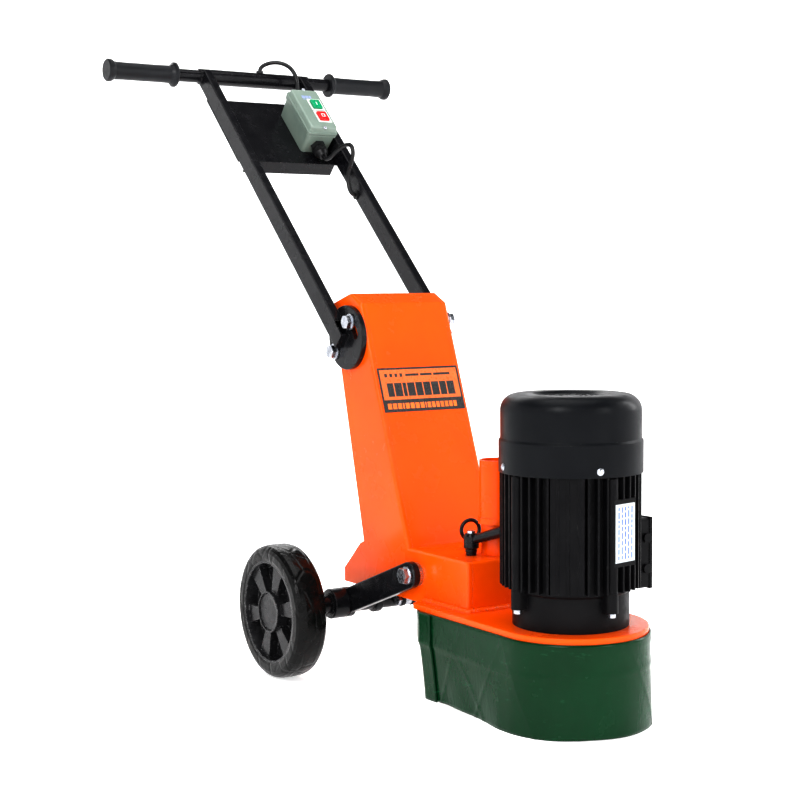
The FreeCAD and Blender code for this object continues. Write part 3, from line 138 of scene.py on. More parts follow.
class Graph:
    """A material's node tree with a principled shader at its end."""

    def __init__(self, name: str) -> None:
        """Makes an empty material.

        Args:
            name: its name.
        """
        self.material = bpy.data.materials.new(name)
        self.material.use_nodes = True
        self.tree = self.material.node_tree
        self.shader = self.tree.nodes["Principled BSDF"]

    def make(self, kind: str, settings: Optional[dict] = None, inputs: Optional[dict] = None,
             out: Union[int, str] = 0) -> Wire:
        """Creates any node.

        Args:
            kind: the node's type.
            settings: attributes set before the sockets.
            inputs: socket index or name to a constant or a wire.
            out: the output socket wanted.
        Returns:
            That output as a wire.
        """
        node = self.tree.nodes.new(kind)
        for key, value in (settings or {}).items():
            setattr(node, key, value)
        for key, value in (inputs or {}).items():
            self.join(node.inputs[key], value)
        return Wire(self, node.outputs[out])

    def join(self, socket: bpy.types.NodeSocket, value: Value) -> None:
        """Links a wire to a socket or sets its constant.

        Args:
            socket: the input.
            value: a wire, a number or a colour.
        """
        if isinstance(value, Wire):
            self.tree.links.new(value.socket, socket)
        elif socket.type == "RGBA":
            socket.default_value = (*value, 1.0)
        else:
            socket.default_value = value

    def place(self) -> Wire:
        """Position on the object, which for a CAD node is the row frame."""
        return self.make("ShaderNodeTexCoord", out="Object")

    def stretch(self, vector: Wire, scale: Colour) -> Wire:
        """The vector with each axis scaled, for grain that runs one way."""
        return self.make("ShaderNodeMapping", {"vector_type": "POINT"},
                         {"Vector": vector, "Scale": scale})

    def noise(self, vector: Wire, scale: float, detail: float = 3.0,
              rough: float = 0.55) -> Wire:
        """Cloudy noise between 0 and 1."""
        inputs = {"Vector": vector, "Scale": scale, "Detail": detail, "Roughness": rough}
        return self.make("ShaderNodeTexNoise", None, inputs, "Fac")

    def between(self, value: Wire, low: float, high: float, start: float = 0.0,
                end: float = 1.0) -> Wire:
        """Maps low..high smoothly to start..end and holds it outside."""
        return self.make("ShaderNodeMapRange", {"interpolation_type": "SMOOTHSTEP"},
                         {0: value, 1: low, 2: high, 3: start, 4: end})

    def mix(self, share: Value, first: Value, second: Value) -> Wire:
        """Colour between first and second."""
        return self.make("ShaderNodeMix", {"data_type": "RGBA"},
                         {0: share, 6: first, 7: second}, 2)

    def bump(self, height: Wire, depth: float, normal: Optional[Wire]) -> Wire:
        """Surface relief.

        Args:
            height: 0 to 1.
            depth: what 1 stands for, in metres.
            normal: relief it lies on, if any.
        Returns:
            The normal.
        """
        inputs = {"Height": height, "Distance": depth, "Strength": 1.0}
        if normal is not None:
            inputs["Normal"] = normal
        return self.make("ShaderNodeBump", None, inputs)

    def edges(self, width: float) -> Wire:
        """Rounded normal of the edges, from a bevel that the shader works out."""
        return self.make("ShaderNodeBevel", {"samples": 4}, {"Radius": width})

    def corner(self, rounded: Wire) -> Wire:
        """Finds the edges.

        Args:
            rounded: the rounded normal.
        Returns:
            1 on an edge and 0 on a flat.
        """
        true = self.make("ShaderNodeNewGeometry", out="True Normal")
        same = self.make("ShaderNodeVectorMath", {"operation": "DOT_PRODUCT"},
                         {0: rounded, 1: true}, "Value")
        return self.between(same, 0.985, 0.86)


# ---- finishes ------------------------------------------------------------------------------
@dataclass(frozen=True)
class Finish:
    """How a material looks: two tones, a range of gloss, relief, and pale edges: worn paint on
    most finishes, a painted edge highlight on the wheel cores.
    """

    name: str
    base: Colour
    shade: Colour
    gloss: tuple[float, float] = (0.3, 0.45)
    metallic: float = 0.0
    coat: float = 0.0
    coat_rough: float = 0.08
    specular: float = 0.5
    blotch: float = 9.0
    grain: float = 900.0
    relief: float = 0.00004
    stretch: Colour = (1.0, 1.0, 1.0)
    edge: float = 0.0
    # Edge colour and amount: worn paint on most finishes; on the wheel cores a painted highlight
    # along the edges.
    wear_and_highlight_tone: Colour = (0.35, 0.34, 0.33)
    edge_wear_and_highlight: float = 0.0
    scuffs: float = 0.0
    glow: float = 0.0

    def pattern(self, graph: Graph, place: Wire) -> Wire:
        """Height of the fine relief, 0 to 1."""
        return graph.noise(graph.stretch(place, self.stretch), self.grain, 4.0)

    def tint(self, graph: Graph, place: Wire, colour: Wire) -> Wire:
        """Last change to the colour; a plain finish has none."""
        return colour

    def build(self) -> bpy.types.Material:
        """Makes the material.

        Returns:
            The material, ready to assign.
        """
        graph = Graph(self.name)
        place = graph.place()
        cloud = graph.noise(place, self.blotch, 5.0)
        colour = graph.mix(graph.between(cloud, 0.35, 0.7), self.base, self.shade)
        colour = self.tint(graph, place, colour)
        rough = graph.between(graph.noise(place, self.blotch * 4.0, 6.0), 0.3, 0.7, *self.gloss)
        normal = None
        if self.edge:
            normal = graph.edges(self.edge)
        # Edge mask: chipped paint on most finishes; on the wheel cores it paints a highlight
        # where light would catch the edges.
        if self.edge_wear_and_highlight:
            speckle = graph.noise(place, 160.0, 6.0, 0.7)
            chips_and_highlights = graph.between(speckle, 0.62 - 0.2 * self.edge_wear_and_highlight, 0.68) * graph.corner(normal)
            colour = graph.mix(chips_and_highlights, colour, self.wear_and_highlight_tone)
            rough = rough + chips_and_highlights * 0.15
        if self.scuffs:
            lines = graph.noise(graph.stretch(place, (14.0, 90.0, 22.0)), 6.0, 8.0, 0.75)
            scratch = graph.between(lines, 0.66, 0.74) * self.scuffs
            colour = graph.mix(scratch, colour, self.wear_and_highlight_tone)
            rough = rough + scratch * 0.3
        normal = graph.bump(self.pattern(graph, place), self.relief, normal)
        self.finish(graph, colour, rough, normal)
        return graph.material

    def finish(self, graph: Graph, colour: Wire, rough: Wire, normal: Wire) -> None:
        """Feeds the shader.

        Args:
            graph: the material's tree.
            colour: base colour.
            rough: roughness.
            normal: relief.
        """
        shader = graph.shader.inputs
        graph.join(shader["Base Color"], colour)
        graph.join(shader["Roughness"], rough)
        graph.join(shader["Normal"], normal)
        shader["Metallic"].default_value = self.metallic
        shader["Coat Weight"].default_value = self.coat
        shader["Coat Roughness"].default_value = self.coat_rough
        shader["Specular IOR Level"].default_value = self.specular
        shader["Emission Color"].default_value = (1.0, 1.0, 1.0, 1.0)
        shader["Emission Strength"].default_value = self.glow


@dataclass(frozen=True)
class Cast(Finish):
    """Painted casting: pebbled by the sand mould."""

    def pattern(self, graph: Graph, place: Wire) -> Wire:
        """Coarse pebbles under fine grit."""
        return graph.noise(place, 240.0, 2.0) * 0.6 + graph.noise(place, self.grain, 4.0) * 0.4


@dataclass(frozen=True)
class Ribbed(Finish):
    """Moulded rubber with fine ribs round an axis along X."""

    pitch: float = 0.003

    def pattern(self, graph: Graph, place: Wire) -> Wire:
        """Rings along X with a little grit.

        Args:
            graph: the material's tree.
            place: position on the object.
        Returns:
            The height, 0 to 1.
        """
        wave = {"bands_direction": "X", "wave_profile": "SIN"}
        rings = graph.make("ShaderNodeTexWave", wave,
                           {"Vector": place, "Scale": 0.314 / self.pitch, "Distortion": 0.15})
        return rings * 0.8 + graph.noise(place, self.grain, 3.0) * 0.2


@dataclass(frozen=True)
class Wrapped(Finish):
    """Smooth polyurethane with a wrinkled, shiny skin."""

    def pattern(self, graph: Graph, place: Wire) -> Wire:
        """Sharp folds with flats between them.

        Args:
            graph: the material's tree.
            place: position on the object.
        Returns:
            The height, 0 to 1.
        """
        skin = graph.stretch(place, (1.4, 1.0, 0.8))
        folds = graph.make("ShaderNodeTexVoronoi", {"feature": "DISTANCE_TO_EDGE"},
                           {"Vector": skin, "Scale": 34.0}, "Distance")
        wrinkle = graph.noise(place, 70.0, 6.0, 0.6)
        return graph.between(folds, 0.0, 0.14) * 0.35 + wrinkle * 0.65


@dataclass(frozen=True)
class Hammered(Finish):
    """Grey enamel with a soft orange-peel surface."""

    def pattern(self, graph: Graph, place: Wire) -> Wire:
        """Shallow rounded dimples."""
        cells = graph.make("ShaderNodeTexVoronoi", {"feature": "SMOOTH_F1"},
                           {"Vector": place, "Scale": 420.0}, "Distance")
        return cells * 0.6 + graph.noise(place, self.grain, 3.0) * 0.4


@dataclass(frozen=True)
class Vinyl(Finish):
    """Heavy green sheet: soft sheen, faint calender streaks and scuffed creases."""

    def tint(self, graph: Graph, place: Wire, colour: Wire) -> Wire:
        """Paler stress marks where the sheet has been folded."""
        marks = graph.noise(graph.stretch(place, (9.0, 9.0, 30.0)), 3.5, 7.0, 0.7)
        return graph.mix(graph.between(marks, 0.6, 0.8) * 0.30, colour, (0.05, 0.30, 0.15))


class Look(Enum):
    """Every finish the machine needs, by the record's material slot or by a detail's name."""

    orange_paint = Finish("orange_paint", (0.93, 0.112, 0.0), (0.85, 0.092, 0.0), (0.18, 0.30),
                          specular=0.22, coat=0.05, coat_rough=0.1, blotch=5.0, grain=420.0,
                          relief=0.00005, edge=0.0016, wear_and_highlight_tone=(0.20, 0.10, 0.06), edge_wear_and_highlight=0.35)
    black_paint = Finish("black_paint", (0.006, 0.006, 0.008), (0.010, 0.010, 0.012),
                         (0.16, 0.30), coat=0.0, specular=0.32, blotch=14.0, grain=520.0,
                         relief=0.00006, edge=0.0014, wear_and_highlight_tone=(0.22, 0.21, 0.20), edge_wear_and_highlight=0.55,
                         scuffs=0.2)
    cowl_black = Finish("cowl_black", (0.005, 0.006, 0.008), (0.008, 0.009, 0.011), (0.3, 0.42),
                        specular=0.16, blotch=10.0, grain=800.0, relief=0.00005, edge=0.0012,
                        wear_and_highlight_tone=(0.16, 0.16, 0.15), edge_wear_and_highlight=0.2, scuffs=0.15)
    motor_black = Cast("motor_black", (0.004, 0.004, 0.005), (0.008, 0.008, 0.009), (0.34, 0.5),
                       specular=0.14, blotch=22.0, grain=1100.0, relief=0.00022, edge=0.001,
                       wear_and_highlight_tone=(0.10, 0.10, 0.10), edge_wear_and_highlight=0.25)
    zinc = Finish("zinc", (0.56, 0.58, 0.62), (0.38, 0.40, 0.44), (0.2, 0.38), metallic=1.0,
                  blotch=70.0, grain=1400.0, relief=0.00003, edge=0.0006)
    steel = Finish("steel", (0.50, 0.50, 0.51), (0.36, 0.35, 0.34), (0.25, 0.42), metallic=1.0,
                   blotch=30.0, grain=300.0, relief=0.00003, stretch=(1.0, 1.0, 26.0),
                   edge=0.0006)
    lamination = Finish("lamination", (0.20, 0.19, 0.19), (0.30, 0.17, 0.09), (0.45, 0.6),
                        metallic=0.8, grain=60.0, relief=0.0002, stretch=(1.0, 1.0, 30.0))
    skirt_green = Vinyl("skirt_green", (0.001, 0.034, 0.010), (0.002, 0.044, 0.014),
                        (0.16, 0.28), specular=0.2, blotch=7.0, grain=200.0, relief=0.0003,
                        stretch=(1.0, 1.0, 0.3))
    tyre_black = Wrapped("tyre_black", (0.004, 0.004, 0.004), (0.008, 0.008, 0.008),
                         (0.10, 0.30), specular=0.2, blotch=16.0, relief=0.0011,
                         wear_and_highlight_tone=(0.2, 0.2, 0.2), scuffs=0.25)
    # Wheel cores: the pale grey edge colour is a painted highlight, light on the rim and spoke
    # edges painted into the colour.
    wheel_black = Finish("wheel_black", (0.012, 0.012, 0.013), (0.020, 0.020, 0.022),
                         (0.2, 0.34), specular=0.3, blotch=20.0, grain=700.0, relief=0.00006,
                         edge=0.0014, wear_and_highlight_tone=(0.5, 0.5, 0.5), edge_wear_and_highlight=0.8)
    grip_rubber = Ribbed("grip_rubber", (0.007, 0.008, 0.010), (0.011, 0.012, 0.015),
                         (0.34, 0.5), specular=0.35, blotch=25.0, grain=1200.0, relief=0.0001)
    switch_grey = Hammered("switch_grey", (0.24, 0.30, 0.26), (0.20, 0.26, 0.225), (0.3, 0.42),
                           coat=0.1, blotch=16.0, grain=900.0, relief=0.00007, edge=0.0014,
                           wear_and_highlight_tone=(0.25, 0.27, 0.26), edge_wear_and_highlight=0.2)
    button_green = Finish("button_green", (0.0, 0.28, 0.12), (0.0, 0.34, 0.16), (0.2, 0.3),
                          blotch=60.0, grain=900.0, relief=0.00003, edge=0.0008)
    button_red = Finish("button_red", (0.72, 0.016, 0.02), (0.82, 0.03, 0.03), (0.2, 0.3),
                        blotch=60.0, grain=900.0, relief=0.00003, edge=0.0008)
    black_plastic = Finish("black_plastic", (0.008, 0.008, 0.009), (0.014, 0.014, 0.015),
                           (0.32, 0.46), specular=0.35, blotch=40.0, grain=900.0,
                           relief=0.00008, edge=0.0008)
    bezel_white = Finish("bezel_white", (0.72, 0.75, 0.72), (0.62, 0.66, 0.63), (0.28, 0.4),
                         blotch=50.0, grain=900.0, relief=0.00003, edge=0.0005)
    cable_black = Finish("cable_black", (0.008, 0.008, 0.009), (0.013, 0.013, 0.014),
                         (0.26, 0.4), specular=0.4, blotch=50.0, grain=500.0, relief=0.0001)
    label_dark = Finish("label_dark", (0.016, 0.014, 0.014), (0.026, 0.022, 0.022),
                        (0.22, 0.32), coat=0.3, blotch=18.0, grain=700.0, relief=0.00002)
    plate_silver = Finish("plate_silver", (0.66, 0.70, 0.72), (0.56, 0.60, 0.62), (0.3, 0.45),
                          metallic=0.55, blotch=30.0, grain=700.0, relief=0.00002,
                          stretch=(1.0, 1.0, 9.0))
    segment_bronze = Finish("segment_bronze", (0.40, 0.31, 0.19), (0.26, 0.22, 0.17),
                            (0.5, 0.7), metallic=0.7, blotch=90.0, grain=700.0, relief=0.0003)
    print_orange = Finish("print_orange", (0.95, 0.20, 0.02), (0.85, 0.17, 0.02), (0.3, 0.4),
                          blotch=80.0)
    print_pale = Finish("print_pale", (0.74, 0.17, 0.035), (0.66, 0.15, 0.03), (0.25, 0.35),
                        blotch=60.0)
    print_blue = Finish("print_blue", (0.02, 0.10, 0.42), (0.03, 0.13, 0.48), (0.3, 0.4),
                        blotch=80.0)
    print_white = Finish("print_white", (0.80, 0.82, 0.80), (0.70, 0.72, 0.70), (0.3, 0.4),
                         blotch=80.0)
    lavender_ink = Finish("lavender_ink", (0.30, 0.36, 0.62), (0.36, 0.42, 0.66), (0.3, 0.4),
                          blotch=80.0)
    floor = Finish("floor", (0.93, 0.93, 0.935), (0.90, 0.90, 0.905), (0.5, 0.65), blotch=0.8,
                   grain=60.0, relief=0.0001, specular=0.1, glow=0.66)


@dataclass
class Palette:
    """Builds each material once, when it is first asked for."""

    made: dict[Look, bpy.types.Material] = field(default_factory=dict)

    def get(self, look: Look) -> bpy.types.Material:
        """The material of a look.

        Args:
            look: which finish.
        Returns:
            Its material.
        """
        if look not in self.made:
            self.made[look] = look.value.build()
        return self.made[look]

    def paint(self, nodes: Iterable[str], look: Look) -> None:
        """Gives CAD nodes a finish.

        Args:
            nodes: their names.
            look: the finish.
        """
        for name in nodes:
            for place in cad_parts[name].material_slots:
                place.material = self.get(look)


# ---- mesh helpers --------------------------------------------------------------------------
def to_object(name: str, mesh: bmesh.types.BMesh, material: bpy.types.Material,
              smooth: bool = True) -> bpy.types.Object:
    """Turns a bmesh into an object in the scene.

    Args:
        name: the object's name.
        mesh: its geometry, which is freed.
        material: its finish.
        smooth: whether its faces are shaded smooth.
    Returns:
        The object.
    """
    bmesh.ops.recalc_face_normals(mesh, faces=mesh.faces)
    data = bpy.data.meshes.new(name)
    mesh.to_mesh(data)
    mesh.free()
    for face in data.polygons:
        face.use_smooth = smooth
    data.materials.append(material)
    made = bpy.data.objects.new(name, data)
    bpy.context.scene.collection.objects.link(made)
    return made


def new_piece(name: str, mesh: bmesh.types.BMesh, material: bpy.types.Material, body: str,
              smooth: bool = True) -> bpy.types.Object:
    """Turns a bmesh into a finished piece that rides on a body.

    Args:
        name: the piece's name.
        mesh: its geometry, which is freed.
        material: its finish.
        body: the CAD body it rides on.
        smooth: whether its faces are shaded smooth.
    Returns:
        The object.
    """
    piece = to_object(name, mesh, material, smooth)
    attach(piece, body)
    return piece


def grid(mesh: bmesh.types.BMesh, rows: Sequence[Sequence[Vector]], closed: bool) -> None:
    """Skins rows of points.

    Args:
        mesh: where the faces go.
        rows: rings or lines of the same number of points.
        closed: whether the end of each row meets its start.
    """
    lines = [[mesh.verts.new(point) for point in row] for row in rows]
    count = len(lines[0])
    for low, high in zip(lines, lines[1:]):
        for index in range(count if closed else count - 1):
            after = (index + 1) % count
            mesh.faces.new((low[index], low[after], high[after], high[index]))


def ring(middle: Vector, side: Vector, up: Vector, radius: float, count: int) -> list[Vector]:
    """Points round a circle.

    Args:
        middle: its centre.
        side: unit vector to its first point.
        up: unit vector to the point a quarter of the way round.
        radius: its radius.
        count: how many points.
    Returns:
        The points in order.
    """
    turns = [math.tau * corner / count for corner in range(count)]
    return [middle + (side * math.cos(turn) + up * math.sin(turn)) * radius for turn in turns]


def clamp(value: float) -> float:
    """The value held between 0 and 1."""
    return max(0.0, min(1.0, value))


def ridge(away: float, width: float) -> float:
    """Height of a smooth ridge this far from its crest, which is 1 high."""
    return math.exp(-(away / width) ** 2)


def tile(mesh: bmesh.types.BMesh, corner: Vector, along: Vector, up: Vector,
         out: Vector) -> None:
    """Thin printed tile with chamfered rims.

    Args:
        mesh: where it goes.
        corner: its lower left corner on the surface.
        along: its width as a vector.
        up: its height as a vector.
        out: its thickness as a vector.
    """
    inset_a = along.normalized() * out.length
    inset_b = up.normalized() * out.length
    foot = [corner, corner + along, corner + along + up, corner + up]
    top = [corner + inset_a + inset_b, corner + along - inset_a + inset_b,
           corner + along + up - inset_a - inset_b, corner + up + inset_a - inset_b]
    low = [mesh.verts.new(point) for point in foot]
    high = [mesh.verts.new(point + out) for point in top]
    mesh.faces.new(high)
    for index in range(4):
        after = (index + 1) % 4
        mesh.faces.new((low[index], low[after], high[after], high[index]))


@dataclass
class Decal:
    """A flat printed area, drawn in millimetres from its lower left corner."""

    corner: Vector
    along: Vector
    up: Vector
    thickness: float = 0.00012

    def bars(self, name: str, boxes: Iterable[tuple[float, float, float, float]],
             palette: Palette, look: Look, body: str) -> None:
        """Prints a set of bars.

        Args:
            name: the piece's name.
            boxes: (x, y, width, height) of each bar.
            palette: the finishes.
            look: the ink.
            body: the CAD body it rides on.
        """
        mesh = bmesh.new()
        out = self.along.cross(self.up).normalized() * self.thickness
        for x, y, width, height in boxes:
            corner = self.corner + self.along * (x / 1000) + self.up * (y / 1000)
            tile(mesh, corner, self.along * (width / 1000), self.up * (height / 1000), out)
        new_piece(name, mesh, palette.get(look), body, smooth=False)


# ---- assemblies ----------------------------------------------------------------------------
@dataclass(frozen=True)
class Lamp:
    """A soft box: its place, its width and height in metres, and its power in watts."""

    name: str
    place: tuple[float, float, float]
    size: tuple[float, float]
    watts: float


@dataclass
class Studio:
    """Camera, floor and soft lights. Angles are in degrees."""

    palette: Palette
    lens: float = 71.97
    sensor: float = 36.0
    azimuth: float = -32.764
    down: float = 4.115
    roll: float = -0.386
    stand: tuple[float, float, float] = (-1336.14, -1657.30, 585.58)    # from_motor
    view_end: float = 60.0
    floor_sides: int = 64
    floor_drop: float = 0.0004          # clear of the feet
    floor_profile: tuple[tuple[float, float], ...] = (
        (0.5, 0.0), (3.0, 0.0), (4.2, 0.1), (5.2, 0.6), (5.8, 1.6), (6.0, 4.5))
    room_light: float = 0.17
    gamma: float = 0.74                 # under 1, it darkens the middle tones
    aim: tuple[float, float, float] = (0.0, -0.1, 0.45)
    lamps: tuple[Lamp, ...] = (
        Lamp("key", (-2.2, -1.7, 2.2), (1.0, 1.4), 50.0),
        Lamp("front", (0.9, -3.0, 1.5), (0.5, 1.6), 16.0),
        Lamp("side", (2.4, -0.6, 1.4), (0.6, 1.8), 22.0),
        Lamp("back", (0.6, 2.6, 2.4), (2.0, 1.0), 34.0),
        Lamp("top", (-0.2, -0.2, 3.2), (2.4, 2.4), 60.0))

    def build(self) -> None:
        """Makes all of it."""
        self.camera()
        self.floor()
        self.lights()

    def camera(self) -> None:
        """Puts the camera at the viewing angle."""
        yaw, pitch, roll = (math.radians(a) for a in (self.azimuth, self.down, self.roll))
        ahead = Vector((-math.sin(yaw) * math.cos(pitch), math.cos(yaw) * math.cos(pitch),
                        -math.sin(pitch)))
        right = Vector((math.cos(yaw), math.sin(yaw), 0.0))
        above = right.cross(ahead)
        right, above = (right * math.cos(roll) + above * math.sin(roll),
                        above * math.cos(roll) - right * math.sin(roll))
        data = bpy.data.cameras.new("camera")
        data.lens = self.lens
        data.sensor_width = self.sensor
        data.clip_end = self.view_end
        camera = bpy.data.objects.new("camera", data)
        bpy.context.scene.collection.objects.link(camera)
        turn = Matrix((right, above, -ahead)).transposed().to_4x4()
        camera.matrix_world = Matrix.Translation(from_motor(*self.stand)) @ turn
        bpy.context.scene.camera = camera

    def floor(self) -> None:
        """A wide pale floor that curves up far behind the machine."""
        mesh = bmesh.new()
        grid(mesh, [ring(Vector((0, 0, height - self.floor_drop)), Vector((1, 0, 0)),
                         Vector((0, 1, 0)), radius, self.floor_sides)
                    for radius, height in self.floor_profile], closed=True)
        mesh.faces.new(list(mesh.verts)[:self.floor_sides])
        to_object("floor", mesh, self.palette.get(Look.floor))

    def light(self, lamp: Lamp) -> None:
        """Hangs one soft box, turned to the machine.

        Args:
            lamp: which.
        """
        data = bpy.data.lights.new(lamp.name, "AREA")
        data.shape = "RECTANGLE"
        data.size, data.size_y = lamp.size
        data.energy = lamp.watts
        box = bpy.data.objects.new(lamp.name, data)
        place = Vector(lamp.place)
        turn = (Vector(self.aim) - place).to_track_quat("-Z", "Y").to_matrix().to_4x4()
        box.matrix_world = Matrix.Translation(place) @ turn
        bpy.context.scene.collection.objects.link(box)

    def lights(self) -> None:
        """A bright room and the soft boxes."""
        scene = bpy.context.scene
        world = bpy.data.worlds.new("room")
        world.use_nodes = True
        background = world.node_tree.nodes["Background"].inputs
        background["Color"].default_value = (1.0, 1.0, 1.0, 1.0)
        background["Strength"].default_value = self.room_light
        scene.world = world
        scene.view_settings.view_transform = "Standard"
        scene.view_settings.gamma = self.gamma
        for lamp in self.lamps:
            self.light(lamp)


@dataclass
class Cable:
    """A round cable through listed control points."""

    name: str
    node: str
    points: Sequence[Vector]
    length: float
    diameter: float = 0.007

    def build(self, palette: Palette) -> None:
        """Args:
            palette: the finishes.
        """
        data = bpy.data.curves.new(self.name, "CURVE")
        data.dimensions = "3D"
        data.bevel_depth = self.diameter / 2
        data.bevel_resolution = 5
        data.resolution_u = 8
        data.use_fill_caps = True
        spline = data.splines.new("NURBS")
        spline.points.add(len(self.points) - 1)
        for place, point in zip(spline.points, self.points):
            place.co = (*point, 1.0)
        spline.order_u = 3
        spline.use_endpoint_u = True
        cable = bpy.data.objects.new(self.name, data)
        bpy.context.scene.collection.objects.link(cable)
        data.materials.append(palette.get(Look.cable_black))
        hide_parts(self.node)
        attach(cable, "handle")


@dataclass
class Cables:
    """The feed cable into the handlebar and the motor cable into the right leg."""

    palette: Palette

    def build(self) -> None:
        """Makes both cables."""
        feed = [(64.0, 842.96, 906.93), (64.0, 850.1, 913.9), (64.5, 848.5, 928.0),
                (64.0, 847.0, 943.0), (62.0, 850.5, 958.0), (57.0, 860.0, 971.5),
                (48.0, 871.5, 979.5), (36.0, 881.0, 981.5), (23.5, 888.5, 978.5),
                (13.0, 892.0, 971.0), (13.0, 892.0, 962.6)]
        motor = [(57.0, 204.5, 0.0), (57.4, 212.0, 0.4), (59.5, 217.0, 6.5), (63.0, 219.0, 16.0),
                 (67.5, 221.0, 31.0), (72.0, 227.0, 46.0), (75.0, 238.0, 56.0),
                 (76.0, 251.0, 50.0), (75.8, 257.5, 35.0), (75.3, 260.5, 19.0),
                 (75.0, 267.0, 8.0), (75.0, 277.0, 1.0), (76.0, 285.5, -4.0),
                 (78.5, 291.0, -6.5), (82.5, 293.0, -8.0), (90.0, 293.0, -8.0)]
        Cable("feed_cable_run", "feed_cable", [from_motor(*p) for p in feed],
              0.138).build(self.palette)
        Cable("motor_cable_run", "motor_cable", [on_handle(*p) for p in motor],
              0.171).build(self.palette)


@dataclass
class Skirt:
    """Dust skirt: one length of heavy vinyl round the plate, its ends lapped at a rear corner."""

    palette: Palette
    radius: float = 0.1052
    rear: float = 0.2372
    corner: float = 0.035
    top: float = 0.1252
    lap: float = 0.026
    lap_rise: float = 0.012             # how much band the upper end takes to climb the lower
    lap_gap: float = 0.0031
    thickness: float = 0.0026
    columns: int = 420
    levels: int = 30
    free_below: float = 0.086           # the sheet hangs free under this height
    drawn_left: float = 0.0115          # how far the free hem is drawn in towards the rear
    drawn_right: float = 0.007
    drawn_rear: float = 0.006
    hem: float = 0.0006                 # the hem's middle height and its rise and fall
    crease: float = 0.083               # heights of the long crease and of the upper seam
    seam: float = 0.116
    folds: tuple[tuple[float, float], ...] = (      # place along the band, and lean
        (0.060, 0.55), (0.105, -0.75), (0.150, 0.6), (0.225, -0.5), (0.330, 0.5),
        (0.420, -0.6), (0.560, 0.6), (0.660, -0.6), (0.780, 0.5))

    def outline(self, s: float) -> tuple[Vector, Vector]:
        """Point and outward direction on the D, a distance along it from the rear left corner.

        Args:
            s: the distance, clockwise from above, so that it runs down the left side first.
        Returns:
            The point with Z 0 and the unit normal, both from the motor's axis.
        """
        r, c = self.radius, self.corner
        side = self.rear - c
        quarter = math.pi * c / 2
        runs = [(side, "left"), (math.pi * r, "nose"), (side, "right"), (quarter, "right_corner"),
                (2 * (r - c), "rear"), (quarter, "left_corner")]
        s %= sum(length for length, _ in runs)
        for length, run in runs:
            if s <= length:
                break
            s -= length
        if run == "left":
            return Vector((-r, side - s, 0)), Vector((-1, 0, 0))
        if run == "right":
            return Vector((r, s, 0)), Vector((1, 0, 0))
        if run == "rear":
            return Vector((r - c - s, self.rear, 0)), Vector((0, 1, 0))
        if run == "nose":
            turn = math.pi + s / r
            out = Vector((math.cos(turn), math.sin(turn), 0))
            return out * r, out
        turn = s / c if run == "right_corner" else math.pi / 2 + s / c
        out = Vector((math.cos(turn), math.sin(turn), 0))
        hub = Vector(((r - c) * (1 if run == "right_corner" else -1), side, 0))
        return hub + out * c, out

    def perimeter(self) -> float:
        """Length once round the D."""
        side = self.rear - self.corner
        return 2 * side + math.pi * (self.radius + self.corner) + 2 * (self.radius - self.corner)

    def push(self, s: float, z: float, at: Vector) -> float:
        """How far the sheet leaves the plain band, outwards, in metres.

        Args:
            s: the distance along it.
            z: the height.
            at: the point on the D.
        Returns:
            The offset.
        """
        free = max(0.0, 1.0 - z / self.free_below)
        drawn = self.drawn_left if at.x < 0 else self.drawn_right
        pull = clamp((at.y - 0.02) / 0.13) * drawn * free ** 0.8
        if at.y > self.rear - 0.03:
            pull += self.drawn_rear * free
        wave = 0.0011 * math.sin(s * 31.0 + 0.7) + 0.0007 * math.sin(s * 67.0 + 2.0 + z * 30.0)
        crease = 0.0011 * ridge(z - self.crease + 0.004 * math.sin(s * 9.0), 0.0035)
        folds = sum(ridge(s - start - (z - 0.05) * lean, 0.0032) for start, lean in self.folds)
        seam = 0.0007 * ridge(z - self.seam, 0.0025)
        return -pull + wave * (0.25 + free) + crease + 0.0010 * folds * (0.3 + 0.7 * free) + seam

    def build(self) -> None:
        """Makes the sheet."""
        around = self.perimeter()
        total = around + self.lap
        rows = []
        for level in range(self.levels + 1):
            share = level / self.levels
            row = []
            for column in range(self.columns + 1):
                s = total * column / self.columns
                at, out = self.outline(s)
                hem = self.hem + self.hem * math.sin(s * 23.0)
                z = hem + (self.top - hem) * share
                over = clamp((s - around + self.lap_rise) / self.lap_rise)
                upper = self.push(s - around, z, at) + self.lap_gap
                point = at + out * (self.push(s, z, at) * (1 - over) + over * upper)
                row.append(Vector((MOTOR.x + point.x, MOTOR.y + point.y, z)))
            rows.append(row)
        mesh = bmesh.new()
        grid(mesh, rows, closed=False)
        skirt = new_piece("vinyl_skirt", mesh, self.palette.get(Look.skirt_green), "chassis")
        wall = skirt.modifiers.new("wall", "SOLIDIFY")
        wall.thickness = self.thickness
        wall.offset = 0.0
        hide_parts("dust_skirt")


